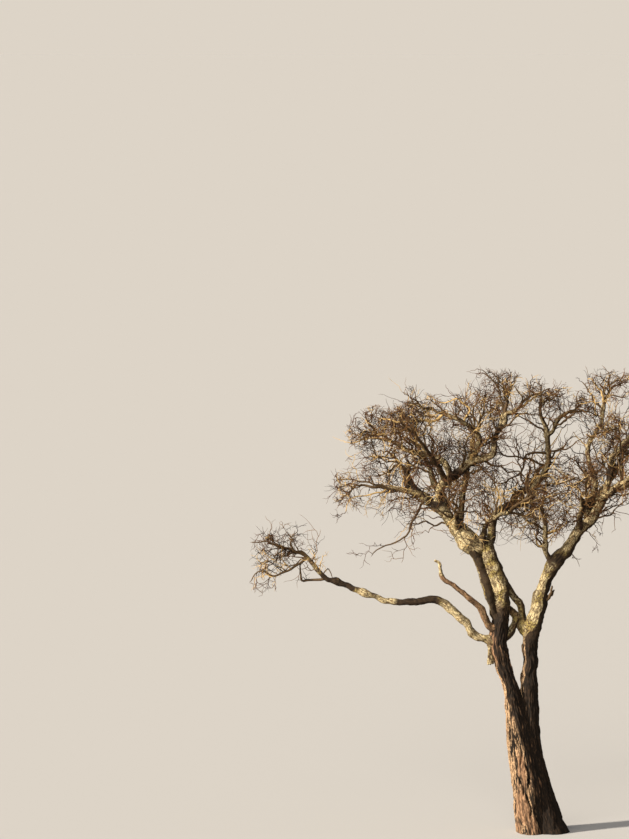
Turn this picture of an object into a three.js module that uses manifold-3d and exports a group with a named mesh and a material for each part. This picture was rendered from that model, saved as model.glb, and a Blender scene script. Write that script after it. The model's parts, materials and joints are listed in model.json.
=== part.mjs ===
// A bare savanna acacia: two fused stems, crooked boughs and open masses of leafless twigs.
// Millimetres. X runs right, Y runs back and Z runs up, from the middle of the flat cut at ground level.
import * as THREE from "three";
import { mergeVertices } from "three/addons/utils/BufferGeometryUtils.js";
import Module from "manifold-3d";

const wasm = await Module();
wasm.setup();

// Driving sizes.
const CLEARANCE = 0.3; // between two pieces that meet
const TRUNK_SIDES = 16;
const LIMB_SIDES = 7;
const TWIG_SIDES = 3;
const LIMB_STEP = 190; // length of limb between two rings
const LIMB_CROOK = 9; // how far a limb's axis wanders between its bends
const FORK_SLIDE = 0.45; // how far down its parent a limb starts, against its first bend's distance from it
const LEADER_SUNK = 12; // how deep a limb that grows on from its parent's tip starts inside it
const TIP_SHARE = 0.999; // of a limb's last straight piece, past which a limb grows on from its tip
const STEM_SEED = 500; // added to a mass's number, so that its draws differ from the limbs'
const TREE_SEED = 41;
const MASS_FLATNESS = 0.8; // height of a mass against its width
const TWIG_MARGIN = 14; // a twig's clearance from its mass's border and from the limbs
const GOLDEN = (Math.sqrt(5) - 1) / 2;

// The two stems that make up the trunk: [right, back, up, radius] from the ground to the fork.
const TRUNK_STEMS = {
  trunk_left: [
    [-105, -20, 0, 225],
    [-165, -30, 300, 228],
    [-200, -35, 620, 218],
    [-268, -35, 1060, 200],
    [-345, -35, 1480, 160],
    [-400, -30, 1800, 126],
    [-438, -28, 2060, 110],
  ],
  trunk_right: [
    [70, 20, 0, 225],
    [30, 30, 300, 190],
    [-30, 40, 620, 172],
    [-130, 45, 1060, 158],
    [-176, 45, 1480, 148],
    [-180, 42, 1800, 138],
    [-178, 40, 2060, 129],
  ],
};

// Root flare: each lobe's bearing in degrees from +X, its reach past the stem and its breadth in degrees.
const FLARE_HEIGHT = 210; // height over which a lobe dies away
const FLARE_LOBES = {
  trunk_left: [
    { bearing: 100, reach: 60, breadth: 34 },
    { bearing: 180, reach: 26, breadth: 30 },
    { bearing: 250, reach: 70, breadth: 32 },
  ],
  trunk_right: [
    { bearing: -4, reach: 112, breadth: 36 },
    { bearing: 70, reach: 80, breadth: 30 },
    { bearing: 300, reach: 84, breadth: 32 },
  ],
};

// Limbs in the order in which they grow: what each springs from, the bends of its axis as
// [right, back, up], and its girth (diameter) at even steps from foot to tip.
const LIMBS = {
  left_stem: {
    from: "trunk_left",
    bends: [[-505, -26, 2260], [-571, -20, 2470], [-612, -10, 2740], [-568, 0, 3160],
      [-590, 5, 3440], [-682, 10, 3720], [-800, 20, 4020]],
    girth: [205, 205, 240, 212, 210, 235, 225],
  },
  right_stem: {
    from: "trunk_right",
    bends: [[-168, 38, 2460], [-158, 34, 2750], [-88, 28, 3030], [-28, 24, 3300],
      [66, 20, 3590], [170, 15, 3810]],
    girth: [240, 225, 235, 190, 205, 192, 190],
  },
  left_bough: {
    from: "left_stem",
    bends: [[-968, 10, 4078], [-1092, 0, 4178], [-1205, -10, 4300], [-1440, -20, 4590], [-1680, -30, 4770]],
    girth: [245, 262, 190, 145, 125],
  },
  right_bough: {
    from: "right_stem",
    bends: [[255, 5, 3920], [345, 0, 4020], [535, -20, 4284], [670, -40, 4430],
      [770, -50, 4570], [868, -60, 4760]],
    girth: [178, 185, 165, 132, 120, 112],
  },
  middle_bough: {
    from: "left_stem",
    bends: [[-722, 40, 4190], [-705, 50, 4390], [-605, 60, 4535], [-400, 75, 4620], [-168, 90, 4704]],
    girth: [125, 115, 112, 110],
  },
  middle_upright: {
    from: "middle_bough",
    bends: [[-130, 105, 4860], [28, 150, 5070], [84, 170, 5240], [84, 180, 5460],
      [50, 195, 5660], [-28, 200, 5850]],
    girth: [88, 80, 76, 68, 58],
  },
  fork_limb: {
    from: "middle_upright",
    bends: [[140, 195, 5660], [240, 210, 5830], [380, 220, 5920]],
    girth: [66, 56, 46],
  },
  winding_bough: {
    from: "right_bough",
    bends: [[600, 70, 4600], [700, 115, 4760], [742, 150, 4930], [672, 190, 5208], [636, 215, 5380],
      [690, 235, 5530], [820, 245, 5760], [862, 255, 6010]],
    girth: [130, 104, 80, 68, 66, 60, 56],
  },
  right_upright: {
    from: "right_bough",
    bends: [[905, -72, 4920], [966, -88, 5170], [950, -92, 5290], [1060, -80, 5400],
      [1204, -55, 5560], [1340, -40, 5690]],
    girth: [84, 78, 90, 104, 86],
  },
  right_outer: {
    from: "right_bough",
    bends: [[985, -52, 4845], [1092, -40, 4905], [1270, -10, 4970], [1500, 40, 5060]],
    girth: [112, 100, 78],
  },
  right_riser: {
    from: "right_outer",
    bends: [[1112, -70, 5000], [1108, -110, 5124], [1098, -190, 5270]],
    girth: [54, 46, 40],
  },
  left_riser: {
    from: "left_bough",
    bends: [[-1430, -62, 4850], [-1344, -100, 4985], [-1218, -150, 5096], [-960, -205, 5262],
      [-720, -222, 5370]],
    girth: [128, 120, 112, 100],
  },
  crown_limb: {
    from: "left_riser",
    bends: [[-690, -220, 5460], [-680, -214, 5580], [-570, -202, 5780], [-540, -196, 5930]],
    girth: [84, 78, 112, 66],
  },
  crown_fork: {
    from: "crown_limb",
    bends: [[-470, -182, 5950], [-360, -168, 6020]],
    girth: [60, 50],
  },
  upper_left: {
    from: "left_riser",
    bends: [[-950, -225, 5440], [-905, -245, 5590], [-1050, -256, 5760], [-1260, -258, 5870],
      [-1390, -250, 5925]],
    girth: [72, 70, 66, 52],
  },
  left_side: {
    from: "left_riser",
    bends: [[-1345, -112, 5190], [-1442, -90, 5285], [-1652, -60, 5350], [-1862, -40, 5395],
      [-2080, 0, 5515]],
    girth: [86, 80, 68, 58],
  },
  left_knot: {
    from: "left_bough",
    bends: [[-1810, -22, 4850], [-1890, -8, 4970], [-1905, 10, 5100]],
    girth: [116, 112, 72],
  },
  left_low: {
    from: "left_bough",
    bends: [[-1760, -72, 4800], [-1930, -90, 4835], [-2180, -115, 4880]],
    girth: [84, 68, 52],
  },
  front_limb: {
    from: "left_stem",
    bends: [[-692, -36, 3090], [-718, -46, 3220], [-748, -50, 3360], [-786, -50, 3530],
      [-852, -46, 3706], [-922, -40, 3900], [-990, -34, 4020]],
    girth: [84, 92, 136, 142, 116],
  },
  cross_limb: {
    from: "right_stem",
    bends: [[-255, 78, 2930], [-290, 92, 3180], [-378, 96, 3304], [-490, 80, 3470], [-610, 20, 3650]],
    girth: [118, 114, 108, 98],
  },
  cross_brace: {
    from: "right_stem",
    bends: [[-285, 112, 2860], [-368, 120, 3040], [-470, 90, 3150], [-575, 10, 3260]],
    girth: [108, 106, 96],
  },
  low_brace: {
    from: "left_stem",
    bends: [[-490, 40, 2790], [-420, 72, 2900], [-360, 110, 3020]],
    girth: [124, 112, 90],
  },
  inner_upright: {
    from: "right_stem",
    bends: [[62, -20, 3925], [30, -50, 4074], [26, -90, 4214], [18, -140, 4350]],
    girth: [84, 68, 60],
  },
  front_upright: {
    from: "left_stem",
    bends: [[-850, -80, 4110], [-826, -220, 4300], [-740, -470, 4460], [-610, -760, 4570],
      [-500, -900, 4630]],
    girth: [84, 72, 56],
  },
  front_bough: {
    from: "left_bough",
    bends: [[-1190, -180, 4370], [-1220, -460, 4460], [-1230, -780, 4550]],
    girth: [98, 82, 60],
  },
  front_left_bough: {
    from: "left_riser",
    bends: [[-1410, -230, 5080], [-1540, -450, 5290], [-1700, -640, 5540]],
    girth: [84, 72, 54],
  },
  back_left_bough: {
    from: "left_bough",
    bends: [[-1350, 160, 4590], [-1480, 440, 4850], [-1630, 760, 5200]],
    girth: [112, 96, 68],
  },
  back_riser: {
    from: "left_bough",
    bends: [[-1150, 200, 4480], [-1090, 460, 4870], [-960, 780, 5420]],
    girth: [104, 88, 62],
  },
  back_mid_bough: {
    from: "middle_bough",
    bends: [[-360, 260, 4730], [-240, 560, 4800], [-100, 900, 4880]],
    girth: [92, 80, 62],
  },
  back_right_bough: {
    from: "right_bough",
    bends: [[640, 150, 4500], [850, 460, 4760], [1080, 800, 5040]],
    girth: [104, 90, 66],
  },
  front_right_bough: {
    from: "right_bough",
    bends: [[830, -210, 4760], [1060, -480, 4960], [1290, -760, 5150]],
    girth: [98, 84, 60],
  },
  front_mid_bough: {
    from: "right_bough",
    bends: [[510, -180, 4400], [530, -480, 4640], [500, -820, 4800]],
    girth: [86, 74, 54],
  },
  dead_spur: {
    from: "left_stem",
    bends: [[-755, -50, 2930], [-880, -90, 3195], [-1090, -120, 3390], [-1240, -135, 3508],
      [-1400, -145, 3610],
      [-1442, -148, 3730], [-1442, -150, 3815], [-1500, -152, 3850]],
    girth: [104, 98, 84, 70, 58, 40],
  },
  low_bough: {
    from: "left_stem",
    bends: [[-770, -30, 2730], [-970, -50, 2815], [-1055, -62, 2960], [-1290, -76, 3172], [-1490, -88, 3300],
      [-1730, -94, 3278], [-1990, -98, 3270], [-2212, -98, 3300]],
    girth: [132, 116, 112, 108, 92, 78],
  },
  low_reach: {
    from: "low_bough",
    bends: [[-2350, -96, 3360], [-2604, -92, 3444], [-2772, -90, 3514], [-3052, -86, 3626],
      [-3170, -84, 3740], [-3310, -84, 3900]],
    girth: [72, 88, 76, 68, 58],
  },
};

// A broken stub hangs under the foot of the low bough.
const HANGING_STUB = { limb: "low_bough", foot: [-742, -40, 2730], tip: [-722, -46, 2392], girth: [74, 52] };

// Masses of bare twigs: the bough whose tip carries each, the middle of its space and its half width.
const MASSES = {
  far_left_low_twigs: { on: "left_low", middle: [-2520, -150, 4880], reach: 480 },
  far_left_mid_twigs: { on: "left_knot", middle: [-2300, 80, 5220], reach: 480 },
  far_left_high_twigs: { on: "left_side", middle: [-2320, 60, 5660], reach: 470 },
  left_top_twigs: { on: "upper_left", middle: [-1640, -160, 5980], reach: 500 },
  front_left_twigs: { on: "front_left_bough", middle: [-1850, -980, 5720], reach: 560 },
  front_heart_twigs: { on: "front_bough", middle: [-1230, -1200, 4720], reach: 560 },
  front_centre_twigs: { on: "front_upright", middle: [-300, -1220, 4820], reach: 540 },
  peak_twigs: { on: "crown_limb", middle: [-600, -190, 6235], reach: 450 },
  peak_right_twigs: { on: "crown_fork", middle: [-120, -160, 6150], reach: 430 },
  middle_top_twigs: { on: "middle_upright", middle: [40, 280, 6050], reach: 470 },
  centre_heart_twigs: { on: "inner_upright", middle: [10, -240, 4760], reach: 560 },
  fork_twigs: { on: "fork_limb", middle: [500, 240, 5960], reach: 380 },
  right_top_twigs: { on: "winding_bough", middle: [930, 260, 6240], reach: 450 },
  right_inner_twigs: { on: "right_riser", middle: [1060, -420, 5640], reach: 450 },
  far_right_high_twigs: { on: "right_upright", middle: [1640, -40, 5920], reach: 520 },
  far_right_twigs: { on: "right_outer", middle: [1900, 80, 5260], reach: 540 },
  front_right_twigs: { on: "front_right_bough", middle: [1540, -1160, 5440], reach: 580 },
  front_mid_twigs: { on: "front_mid_bough", middle: [540, -1320, 5060], reach: 540 },
  back_left_twigs: { on: "back_left_bough", middle: [-1820, 1130, 5560], reach: 600 },
  back_top_twigs: { on: "back_riser", middle: [-820, 1100, 5820], reach: 560 },
  back_mid_twigs: { on: "back_mid_bough", middle: [20, 1400, 5060], reach: 600 },
  back_right_twigs: { on: "back_right_bough", middle: [1300, 1220, 5400], reach: 620 },
  low_end_twigs: { on: "low_reach", middle: [-3650, -90, 3880], reach: 490 },
};

// How twigs branch at each order: the stem of a mass first, then its twigs and their side twigs.
const ORDERS = [
  { children: 1, pieces: 3, share: 1.0, spread: 0, wander: 0.22, lift: 0.05, thickness: 1.0 },
  { children: 7, pieces: 2, share: 0.98, spread: 62, wander: 0.34, lift: 0.06, thickness: 0.5 },
  { children: 3, pieces: 1, share: 0.66, spread: 54, wander: 0.42, lift: 0.04, thickness: 0.52 },
];
const STEM_GIRTH = 0.9; // of a mass's stem against the tip of its bough
const STEM_SUNK = 10; // how deep a mass's stem starts inside its bough's tip
const STEM_FOLLOW = 0.5; // how much a stem keeps its bough's heading
const STEM_FILL = 0.8; // share of the room ahead that a stem fills
const STEM_LEAST = 0.4; // shortest stem against the reach of its mass
const TWIG_FILL = 0.95; // share of the room ahead that a twig may fill
const TWIG_TIP = 0.35; // girth near a twig's tip against its foot
const SHORTEST_TWIG = 70;
const SIDE_PLACES = [0.24, 0.98]; // where side twigs spring, along their parent
const LENGTH_DRAW = [0.7, 1.2]; // by chance, against a twig's usual length
const SPREAD_DRAW = [0.75, 1.25]; // by chance, against a twig's usual spread

const BARK = new THREE.MeshStandardMaterial({ color: "#4d3f31", roughness: 0.95, metalness: 0 });
const PALE_BARK = new THREE.MeshStandardMaterial({ color: "#8f8466", roughness: 0.92, metalness: 0 });
const TWIG_BARK = new THREE.MeshStandardMaterial({ color: "#7d6138", roughness: 0.9, metalness: 0 });

// A repeatable whole number from two others.
function mix(a, b) {
  let h = (a ^ Math.imul(b + 1, 0x9e3779b9)) >>> 0;
  h = Math.imul(h ^ (h >>> 16), 0x85ebca6b) >>> 0;
  h = Math.imul(h ^ (h >>> 13), 0xc2b2ae35) >>> 0;
  return (h ^ (h >>> 16)) >>> 0;
}

// The k-th draw of a seed, from 0 to 1.
const draw = (seed, k) => mix(seed, 1000 + k) / 4294967296;

// A draw of a seed between two limits.
const drawBetween = ([low, high], seed, k) => low + (high - low) * draw(seed, k);

// Three draws of a seed, each from -1 to 1.
const drawVector = (seed, k) =>
  new THREE.Vector3(2 * draw(seed, k) - 1, 2 * draw(seed, k + 1) - 1, 2 * draw(seed, k + 2) - 1);

const vector = ([x, y, z]) => new THREE.Vector3(x, y, z);

// Two directions square to a heading.
function sideways(heading) {
  const reference = Math.abs(heading.z) > 0.9 ? new THREE.Vector3(1, 0, 0) : new THREE.Vector3(0, 0, 1);
  const u = new THREE.Vector3().crossVectors(heading, reference).normalize();
  return [u, new THREE.Vector3().crossVectors(heading, u)];
}

// A closed tube through rings of equal counts of points, with a flat fan at the foot and, at the tip,
// a flat fan or a point.
function tubeGeometry(rings, tip) {
  const sides = rings[0].length;
  const points = rings.flat();
  const faces = [];
  for (let i = 0; i + 1 < rings.length; i++)
    for (let k = 0; k < sides; k++) {
      const a = i * sides + k;
      const b = i * sides + ((k + 1) % sides);
      faces.push(a, b, b + sides, a, b + sides, a + sides);
    }
  const last = (rings.length - 1) * sides;
  for (let k = 1; k + 1 < sides; k++) faces.push(0, k + 1, k);
  if (tip) points.push(tip);
  for (let k = 0; tip && k < sides; k++) faces.push(last + k, last + ((k + 1) % sides), last + sides);
  for (let k = 1; !tip && k + 1 < sides; k++) faces.push(last, last + k, last + k + 1);
  const geometry = new THREE.BufferGeometry().setFromPoints(points);
  geometry.setIndex(faces);
  return geometry;
}

// Rings round a path, each square to it and carried along without twist. Grow adds to every radius
// and to both ends.
function ringsAlong(path, radii, sides, grow) {
  const tangents = path.map((_, i) =>
    path[Math.min(i + 1, path.length - 1)].clone().sub(path[Math.max(i - 1, 0)]).normalize());
  let [u] = sideways(tangents[0]);
  return path.map((centre, i) => {
    const t = tangents[i];
    u = u.clone().addScaledVector(t, -u.dot(t)).normalize();
    const v = new THREE.Vector3().crossVectors(t, u);
    const end = i === 0 ? -grow : i === path.length - 1 ? grow : 0;
    const middle = centre.clone().addScaledVector(t, end);
    const radius = radii[i] + grow / Math.cos(Math.PI / sides);
    return Array.from({ length: sides }, (_, k) => {
      const angle = (2 * Math.PI * k) / sides;
      return middle.clone()
        .addScaledVector(u, radius * Math.cos(angle))
        .addScaledVector(v, radius * Math.sin(angle));
    });
  });
}

// A geometry as a solid that can be joined and cut, and back again.
function toSolid(geometry) {
  const bare = geometry.clone();
  bare.deleteAttribute("normal");
  bare.deleteAttribute("uv");
  const merged = mergeVertices(bare, 1e-4);
  return new wasm.Manifold(new wasm.Mesh({
    numProp: 3,
    vertProperties: merged.attributes.position.array,
    triVerts: new Uint32Array(merged.index.array),
  }));
}

function toGeometry(solid) {
  const mesh = solid.getMesh();
  const geometry = new THREE.BufferGeometry();
  geometry.setAttribute("position", new THREE.BufferAttribute(new Float32Array(mesh.vertProperties), 3));
  geometry.setIndex(new THREE.BufferAttribute(new Uint32Array(mesh.triVerts), 1));
  geometry.computeVertexNormals();
  return geometry;
}

const joined = (solids) => solids.reduce((whole, solid) => whole.add(solid));

// The largest piece of a solid: loose scraps and sealed hollows are left out.
const largestPiece = (solid) =>
  solid.decompose().reduce((best, piece) => (piece.volume() > best.volume() ? piece : best));

const boxesMeet = (a, b) => {
  const p = a.boundingBox();
  const q = b.boundingBox();
  return [0, 1, 2].every((k) => p.min[k] <= q.max[k] && q.min[k] <= p.max[k]);
};

// A solid with each of the others that it meets cut out of it.
const cutClearOf = (solid, others) =>
  others.filter((other) => boxesMeet(solid, other)).reduce((rest, other) => rest.subtract(other), solid);

// One stem of the trunk: level rings, so that both ends are flat, with the root flare's lobes at the foot.
function trunkStem(name, grow) {
  const rings = TRUNK_STEMS[name].map(([x, y, z, radius], i, all) =>
    Array.from({ length: TRUNK_SIDES }, (_, k) => {
      const angle = (2 * Math.PI * k) / TRUNK_SIDES;
      const flare = FLARE_LOBES[name].reduce((sum, lobe) => {
        const off = THREE.MathUtils.euclideanModulo((angle * 180) / Math.PI - lobe.bearing + 180, 360) - 180;
        return sum + lobe.reach * Math.exp(-((off / lobe.breadth) ** 2) - z / FLARE_HEIGHT);
      }, 0);
      const r = radius + flare + grow;
      const up = i === all.length - 1 ? z + grow : z;
      return new THREE.Vector3(x + r * Math.cos(angle), y + r * Math.sin(angle), up);
    }));
  return toSolid(tubeGeometry(rings));
}

const trunkSolid = (grow) => joined(Object.keys(TRUNK_STEMS).map((name) => trunkStem(name, grow)));

// The girth at a share of a limb's length, between the sizes given at even steps.
function radiusAt(girth, share) {
  const place = share * (girth.length - 1);
  const i = Math.min(Math.floor(place), girth.length - 2);
  return THREE.MathUtils.lerp(girth[i], girth[i + 1], place - i) / 2;
}

// The point of an axis nearest to a given point, and whether it is the axis's tip.
function nearestOn(axis, point) {
  let best = { distance: Infinity };
  for (let i = 0; i + 1 < axis.points.length; i++) {
    const line = new THREE.Line3(axis.points[i], axis.points[i + 1]);
    const share = line.closestPointToPointParameter(point, true);
    const place = line.at(share, new THREE.Vector3());
    const distance = place.distanceTo(point);
    const along = line.delta(new THREE.Vector3());
    const tip = i + 2 === axis.points.length && share > TIP_SHARE;
    if (distance < best.distance) best = { distance, place, tip, along };
  }
  return best;
}

// A limb's axis: from inside its parent through its bends, as a smooth curve with seeded crooks.
function limbAxis(limb, parent, seed) {
  const bends = limb.bends.map(vector);
  const near = nearestOn(parent, bends[0]);
  const back = near.tip ? LEADER_SUNK : FORK_SLIDE * near.distance;
  const foot = near.place.clone().addScaledVector(near.along.normalize(), -back);
  const curve = new THREE.CatmullRomCurve3([foot, ...bends], false, "catmullrom", 0.5);
  const points = [foot];
  bends.forEach((bend, i) => {
    const start = i ? bends[i - 1] : foot;
    const steps = Math.max(1, Math.round(start.distanceTo(bend) / LIMB_STEP));
    for (let k = 1; k <= steps; k++) {
      const point = curve.getPoint((i + k / steps) / bends.length);
      const free = k < steps ? LIMB_CROOK : 0;
      points.push(point.addScaledVector(drawVector(mix(seed, points.length), 0), free));
    }
  });
  return points;
}

// The radius at each point of an axis.
function limbRadii(points, girth) {
  const lengths = [0];
  for (let i = 1; i < points.length; i++) lengths.push(lengths[i - 1] + points[i].distanceTo(points[i - 1]));
  return lengths.map((length) => radiusAt(girth, length / lengths.at(-1)));
}

const axes = {};
for (const [name, stations] of Object.entries(TRUNK_STEMS))
  axes[name] = { points: stations.map(vector), radii: stations.map((station) => station[3]) };

// What later limbs and twigs are cut clear of: each limb, grown by the clearance.
const grownLimbs = [trunkSolid(CLEARANCE)];
const limbs = new THREE.Group();
const masses = new THREE.Group();

function addPiece(group, name, solid, material) {
  const mesh = new THREE.Mesh(toGeometry(solid), material);
  mesh.name = name;
  group.add(mesh);
}

addPiece(limbs, "trunk", trunkSolid(0), BARK);

Object.entries(LIMBS).forEach(([name, limb], order) => {
  const points = limbAxis(limb, axes[limb.from], mix(TREE_SEED, order));
  const axis = { points, radii: limbRadii(points, limb.girth) };
  axes[name] = axis;
  const build = (grow) => {
    const pieces = [toSolid(tubeGeometry(ringsAlong(axis.points, axis.radii, LIMB_SIDES, grow)))];
    if (HANGING_STUB.limb === name) {
      const ends = [vector(HANGING_STUB.foot), vector(HANGING_STUB.tip)];
      const stub = ringsAlong(ends, HANGING_STUB.girth.map((g) => g / 2), LIMB_SIDES, grow);
      pieces.push(toSolid(tubeGeometry(stub)));
    }
    return joined(pieces);
  };
  const solid = largestPiece(cutClearOf(build(0), grownLimbs));
  grownLimbs.push(build(CLEARANCE));
  addPiece(limbs, name, solid, name.endsWith("stem") ? BARK : PALE_BARK);
});

// A mass's space in flattened coordinates, where it is a ball shared off from its neighbours by planes.
const flatten = (point) => new THREE.Vector3(point.x, point.y, point.z / MASS_FLATNESS);
const spaces = Object.fromEntries(Object.entries(MASSES).map(([name, { middle, reach }]) =>
  [name, { centre: flatten(vector(middle)), reach }]));

// The planes, as {normal, limit} with normal . point <= limit inside, that keep a mass to its own space.
function bordersOf(name) {
  const own = spaces[name];
  return Object.entries(spaces).filter(([other]) => other !== name).map(([, { centre, reach }]) => {
    const away = centre.clone().sub(own.centre);
    const distance = away.length();
    const share = (distance * distance + own.reach ** 2 - reach ** 2) / (2 * distance);
    const normal = away.divideScalar(distance);
    return { normal, limit: normal.dot(own.centre) + share - TWIG_MARGIN / MASS_FLATNESS };
  }).filter(({ normal, limit }) => limit - normal.dot(own.centre) < own.reach);
}

// How far a ray may run inside a space.
function roomFor(space, borders, from, heading) {
  const p = flatten(from);
  const d = flatten(heading);
  const offset = p.clone().sub(space.centre);
  const a = d.lengthSq();
  const b = offset.dot(d);
  const root = b * b - a * (offset.lengthSq() - space.reach ** 2);
  let room = root > 0 ? (-b + Math.sqrt(root)) / a : 0;
  for (const { normal, limit } of borders) {
    const speed = normal.dot(d);
    if (speed > 1e-9) room = Math.min(room, (limit - normal.dot(p)) / speed);
  }
  return room;
}

const isInside = (space, borders, point) => {
  const p = flatten(point);
  const inBall = p.distanceTo(space.centre) <= space.reach;
  return inBall && borders.every(({ normal, limit }) => normal.dot(p) <= limit);
};

// The shortest distance between two straight pieces.
function gapBetween(a, b, c, d) {
  const u = b.clone().sub(a);
  const v = d.clone().sub(c);
  const w = a.clone().sub(c);
  const clamp = THREE.MathUtils.clamp;
  const [uu, uv, vv, uw, vw] = [u.dot(u), u.dot(v), v.dot(v), u.dot(w), v.dot(w)];
  const skew = uu * vv - uv * uv;
  let s = skew > 1e-9 ? clamp((uv * vw - vv * uw) / skew, 0, 1) : 0;
  const t = clamp((uv * s + vw) / vv, 0, 1);
  s = clamp((uv * t - uw) / uu, 0, 1);
  return w.addScaledVector(u, s).addScaledVector(v, -t).length();
}

// Whether a twig's path stays clear of every limb.
function clearOfLimbs(path, radius) {
  return Object.values(axes).every(({ points, radii }) =>
    points.slice(1).every((end, i) => {
      const keep = Math.max(radii[i], radii[i + 1]) + radius + TWIG_MARGIN;
      return path.slice(1).every((tip, k) => gapBetween(path[k], tip, points[i], end) > keep);
    }));
}

// A twig's crooked path: each piece turns a little by chance and lifts a little.
function twigPath(twig, order) {
  const { pieces, wander, lift } = ORDERS[order];
  const path = [twig.foot.clone()];
  const headings = [];
  let heading = twig.heading.clone();
  for (let k = 0; k < pieces; k++) {
    if (k) heading = heading.clone().addScaledVector(drawVector(twig.seed, 10 + 3 * k), wander);
    heading.z += lift;
    heading.normalize();
    headings.push(heading.clone());
    path.push(path[k].clone().addScaledVector(heading, twig.length / pieces));
  }
  return { path, headings };
}

// The i-th side twig of a twig: its place climbs by the golden ratio, and so does its bearing.
function sideTwig(twig, order, i, space, borders) {
  const rule = ORDERS[order + 1];
  const seed = mix(twig.seed, i);
  const share = THREE.MathUtils.lerp(...SIDE_PLACES, (0.5 + (i + 1) * GOLDEN) % 1);
  const place = share * twig.headings.length;
  const k = Math.min(Math.floor(place), twig.headings.length - 1);
  const foot = twig.path[k].clone().lerp(twig.path[k + 1], place - k);
  const [u, v] = sideways(twig.headings[k]);
  const bearing = 2 * Math.PI * (draw(twig.seed, 3) + i * GOLDEN);
  const spread = THREE.MathUtils.degToRad(rule.spread) * drawBetween(SPREAD_DRAW, seed, 1);
  const heading = twig.headings[k].clone().multiplyScalar(Math.cos(spread))
    .addScaledVector(u, Math.sin(spread) * Math.cos(bearing))
    .addScaledVector(v, Math.sin(spread) * Math.sin(bearing));
  const wish = rule.share * twig.span * drawBetween(LENGTH_DRAW, seed, 2);
  const length = Math.min(wish, TWIG_FILL * roomFor(space, borders, foot, heading));
  const radius = twig.radius * THREE.MathUtils.lerp(1, TWIG_TIP, share) * rule.thickness;
  return { foot, heading, length, radius, seed, span: length };
}

// A mass of twigs: the stem on its bough's tip, and the side twigs that keep to the space and off the
// limbs.
function massTwigs(name, order) {
  const { on, middle, reach } = MASSES[name];
  const space = spaces[name];
  const borders = bordersOf(name);
  const bough = axes[on];
  const tip = bough.points.at(-1);
  const along = tip.clone().sub(bough.points.at(-2)).normalize();
  const heading = vector(middle).sub(tip).divideScalar(reach).addScaledVector(along, STEM_FOLLOW).normalize();
  const stem = {
    foot: tip.clone().addScaledVector(along, -STEM_SUNK),
    heading,
    length: Math.max(STEM_FILL * roomFor(space, borders, tip, heading), STEM_LEAST * reach),
    radius: bough.radii.at(-1) * STEM_GIRTH,
    seed: mix(TREE_SEED, STEM_SEED + order),
    span: reach,
  };
  Object.assign(stem, twigPath(stem, 0));
  const twigs = [{ ...stem, order: 0 }];
  let parents = twigs;
  for (let level = 1; level < ORDERS.length; level++) {
    const grown = [];
    for (const parent of parents)
      for (let i = 0; i < ORDERS[level].children; i++) {
        const twig = sideTwig(parent, level - 1, i, space, borders);
        if (twig.length < SHORTEST_TWIG) continue;
        Object.assign(twig, twigPath(twig, level), { order: level });
        const inside = twig.path.slice(1).every((point) => isInside(space, borders, point));
        if (inside && clearOfLimbs(twig.path, twig.radius)) grown.push(twig);
      }
    twigs.push(...grown);
    parents = grown;
  }
  return twigs;
}

// A twig as a tapering prism that ends in a point.
const twigSolid = ({ path, radius, order }) => {
  const radii = path.map((_, i) => radius * THREE.MathUtils.lerp(1, TWIG_TIP, i / (path.length - 1)));
  const rings = ringsAlong(path, radii, order ? TWIG_SIDES : TWIG_SIDES + 1, 0);
  return toSolid(tubeGeometry(rings.slice(0, -1), path.at(-1)));
};

Object.keys(MASSES).forEach((name, order) => {
  const whole = joined(massTwigs(name, order).map(twigSolid));
  addPiece(masses, name, largestPiece(cutClearOf(whole, grownLimbs)), TWIG_BARK);
});

const tree = new THREE.Group();
tree.add(limbs, masses);

export default tree;
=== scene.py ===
"""A bare savanna acacia: fused furrowed stems, crooked lichened boughs and a crown of tangled twigs.

Millimetres until a mesh is made, and metres from there on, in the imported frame: X right, Y back, Z up,
from the middle of the flat cut at ground level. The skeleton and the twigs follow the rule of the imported
solids, which is written again here and carried to finer twigs.
"""
import json
import logging
import math
from dataclasses import dataclass, field
from enum import Enum

import bpy
import numpy as np
from bpy.types import ID, Material, Node, NodeSocket, NodeTree, Object
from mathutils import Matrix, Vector

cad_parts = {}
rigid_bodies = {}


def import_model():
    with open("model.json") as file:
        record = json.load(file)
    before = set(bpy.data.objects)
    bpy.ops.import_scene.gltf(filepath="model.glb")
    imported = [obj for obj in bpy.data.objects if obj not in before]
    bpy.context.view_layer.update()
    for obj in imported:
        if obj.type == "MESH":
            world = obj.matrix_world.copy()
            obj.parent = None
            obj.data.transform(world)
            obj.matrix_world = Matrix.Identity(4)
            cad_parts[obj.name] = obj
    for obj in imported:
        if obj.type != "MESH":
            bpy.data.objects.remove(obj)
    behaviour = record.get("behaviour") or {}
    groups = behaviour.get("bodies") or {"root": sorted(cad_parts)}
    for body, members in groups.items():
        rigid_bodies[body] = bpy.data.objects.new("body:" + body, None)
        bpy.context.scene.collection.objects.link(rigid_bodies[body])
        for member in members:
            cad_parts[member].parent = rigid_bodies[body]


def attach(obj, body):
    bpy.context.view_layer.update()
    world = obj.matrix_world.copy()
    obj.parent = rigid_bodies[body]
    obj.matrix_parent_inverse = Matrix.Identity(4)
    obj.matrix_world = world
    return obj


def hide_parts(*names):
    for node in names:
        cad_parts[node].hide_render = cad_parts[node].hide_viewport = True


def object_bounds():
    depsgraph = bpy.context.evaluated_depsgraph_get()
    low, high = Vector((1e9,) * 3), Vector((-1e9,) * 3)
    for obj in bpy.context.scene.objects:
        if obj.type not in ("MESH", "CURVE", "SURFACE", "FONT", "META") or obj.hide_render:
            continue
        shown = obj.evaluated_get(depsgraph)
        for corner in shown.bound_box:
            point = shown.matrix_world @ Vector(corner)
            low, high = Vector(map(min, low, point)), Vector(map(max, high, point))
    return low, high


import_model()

Array = np.ndarray
Pair = tuple[float, float]
Place = tuple[float, float, float]
Colour = tuple[float, float, float, float]
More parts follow.
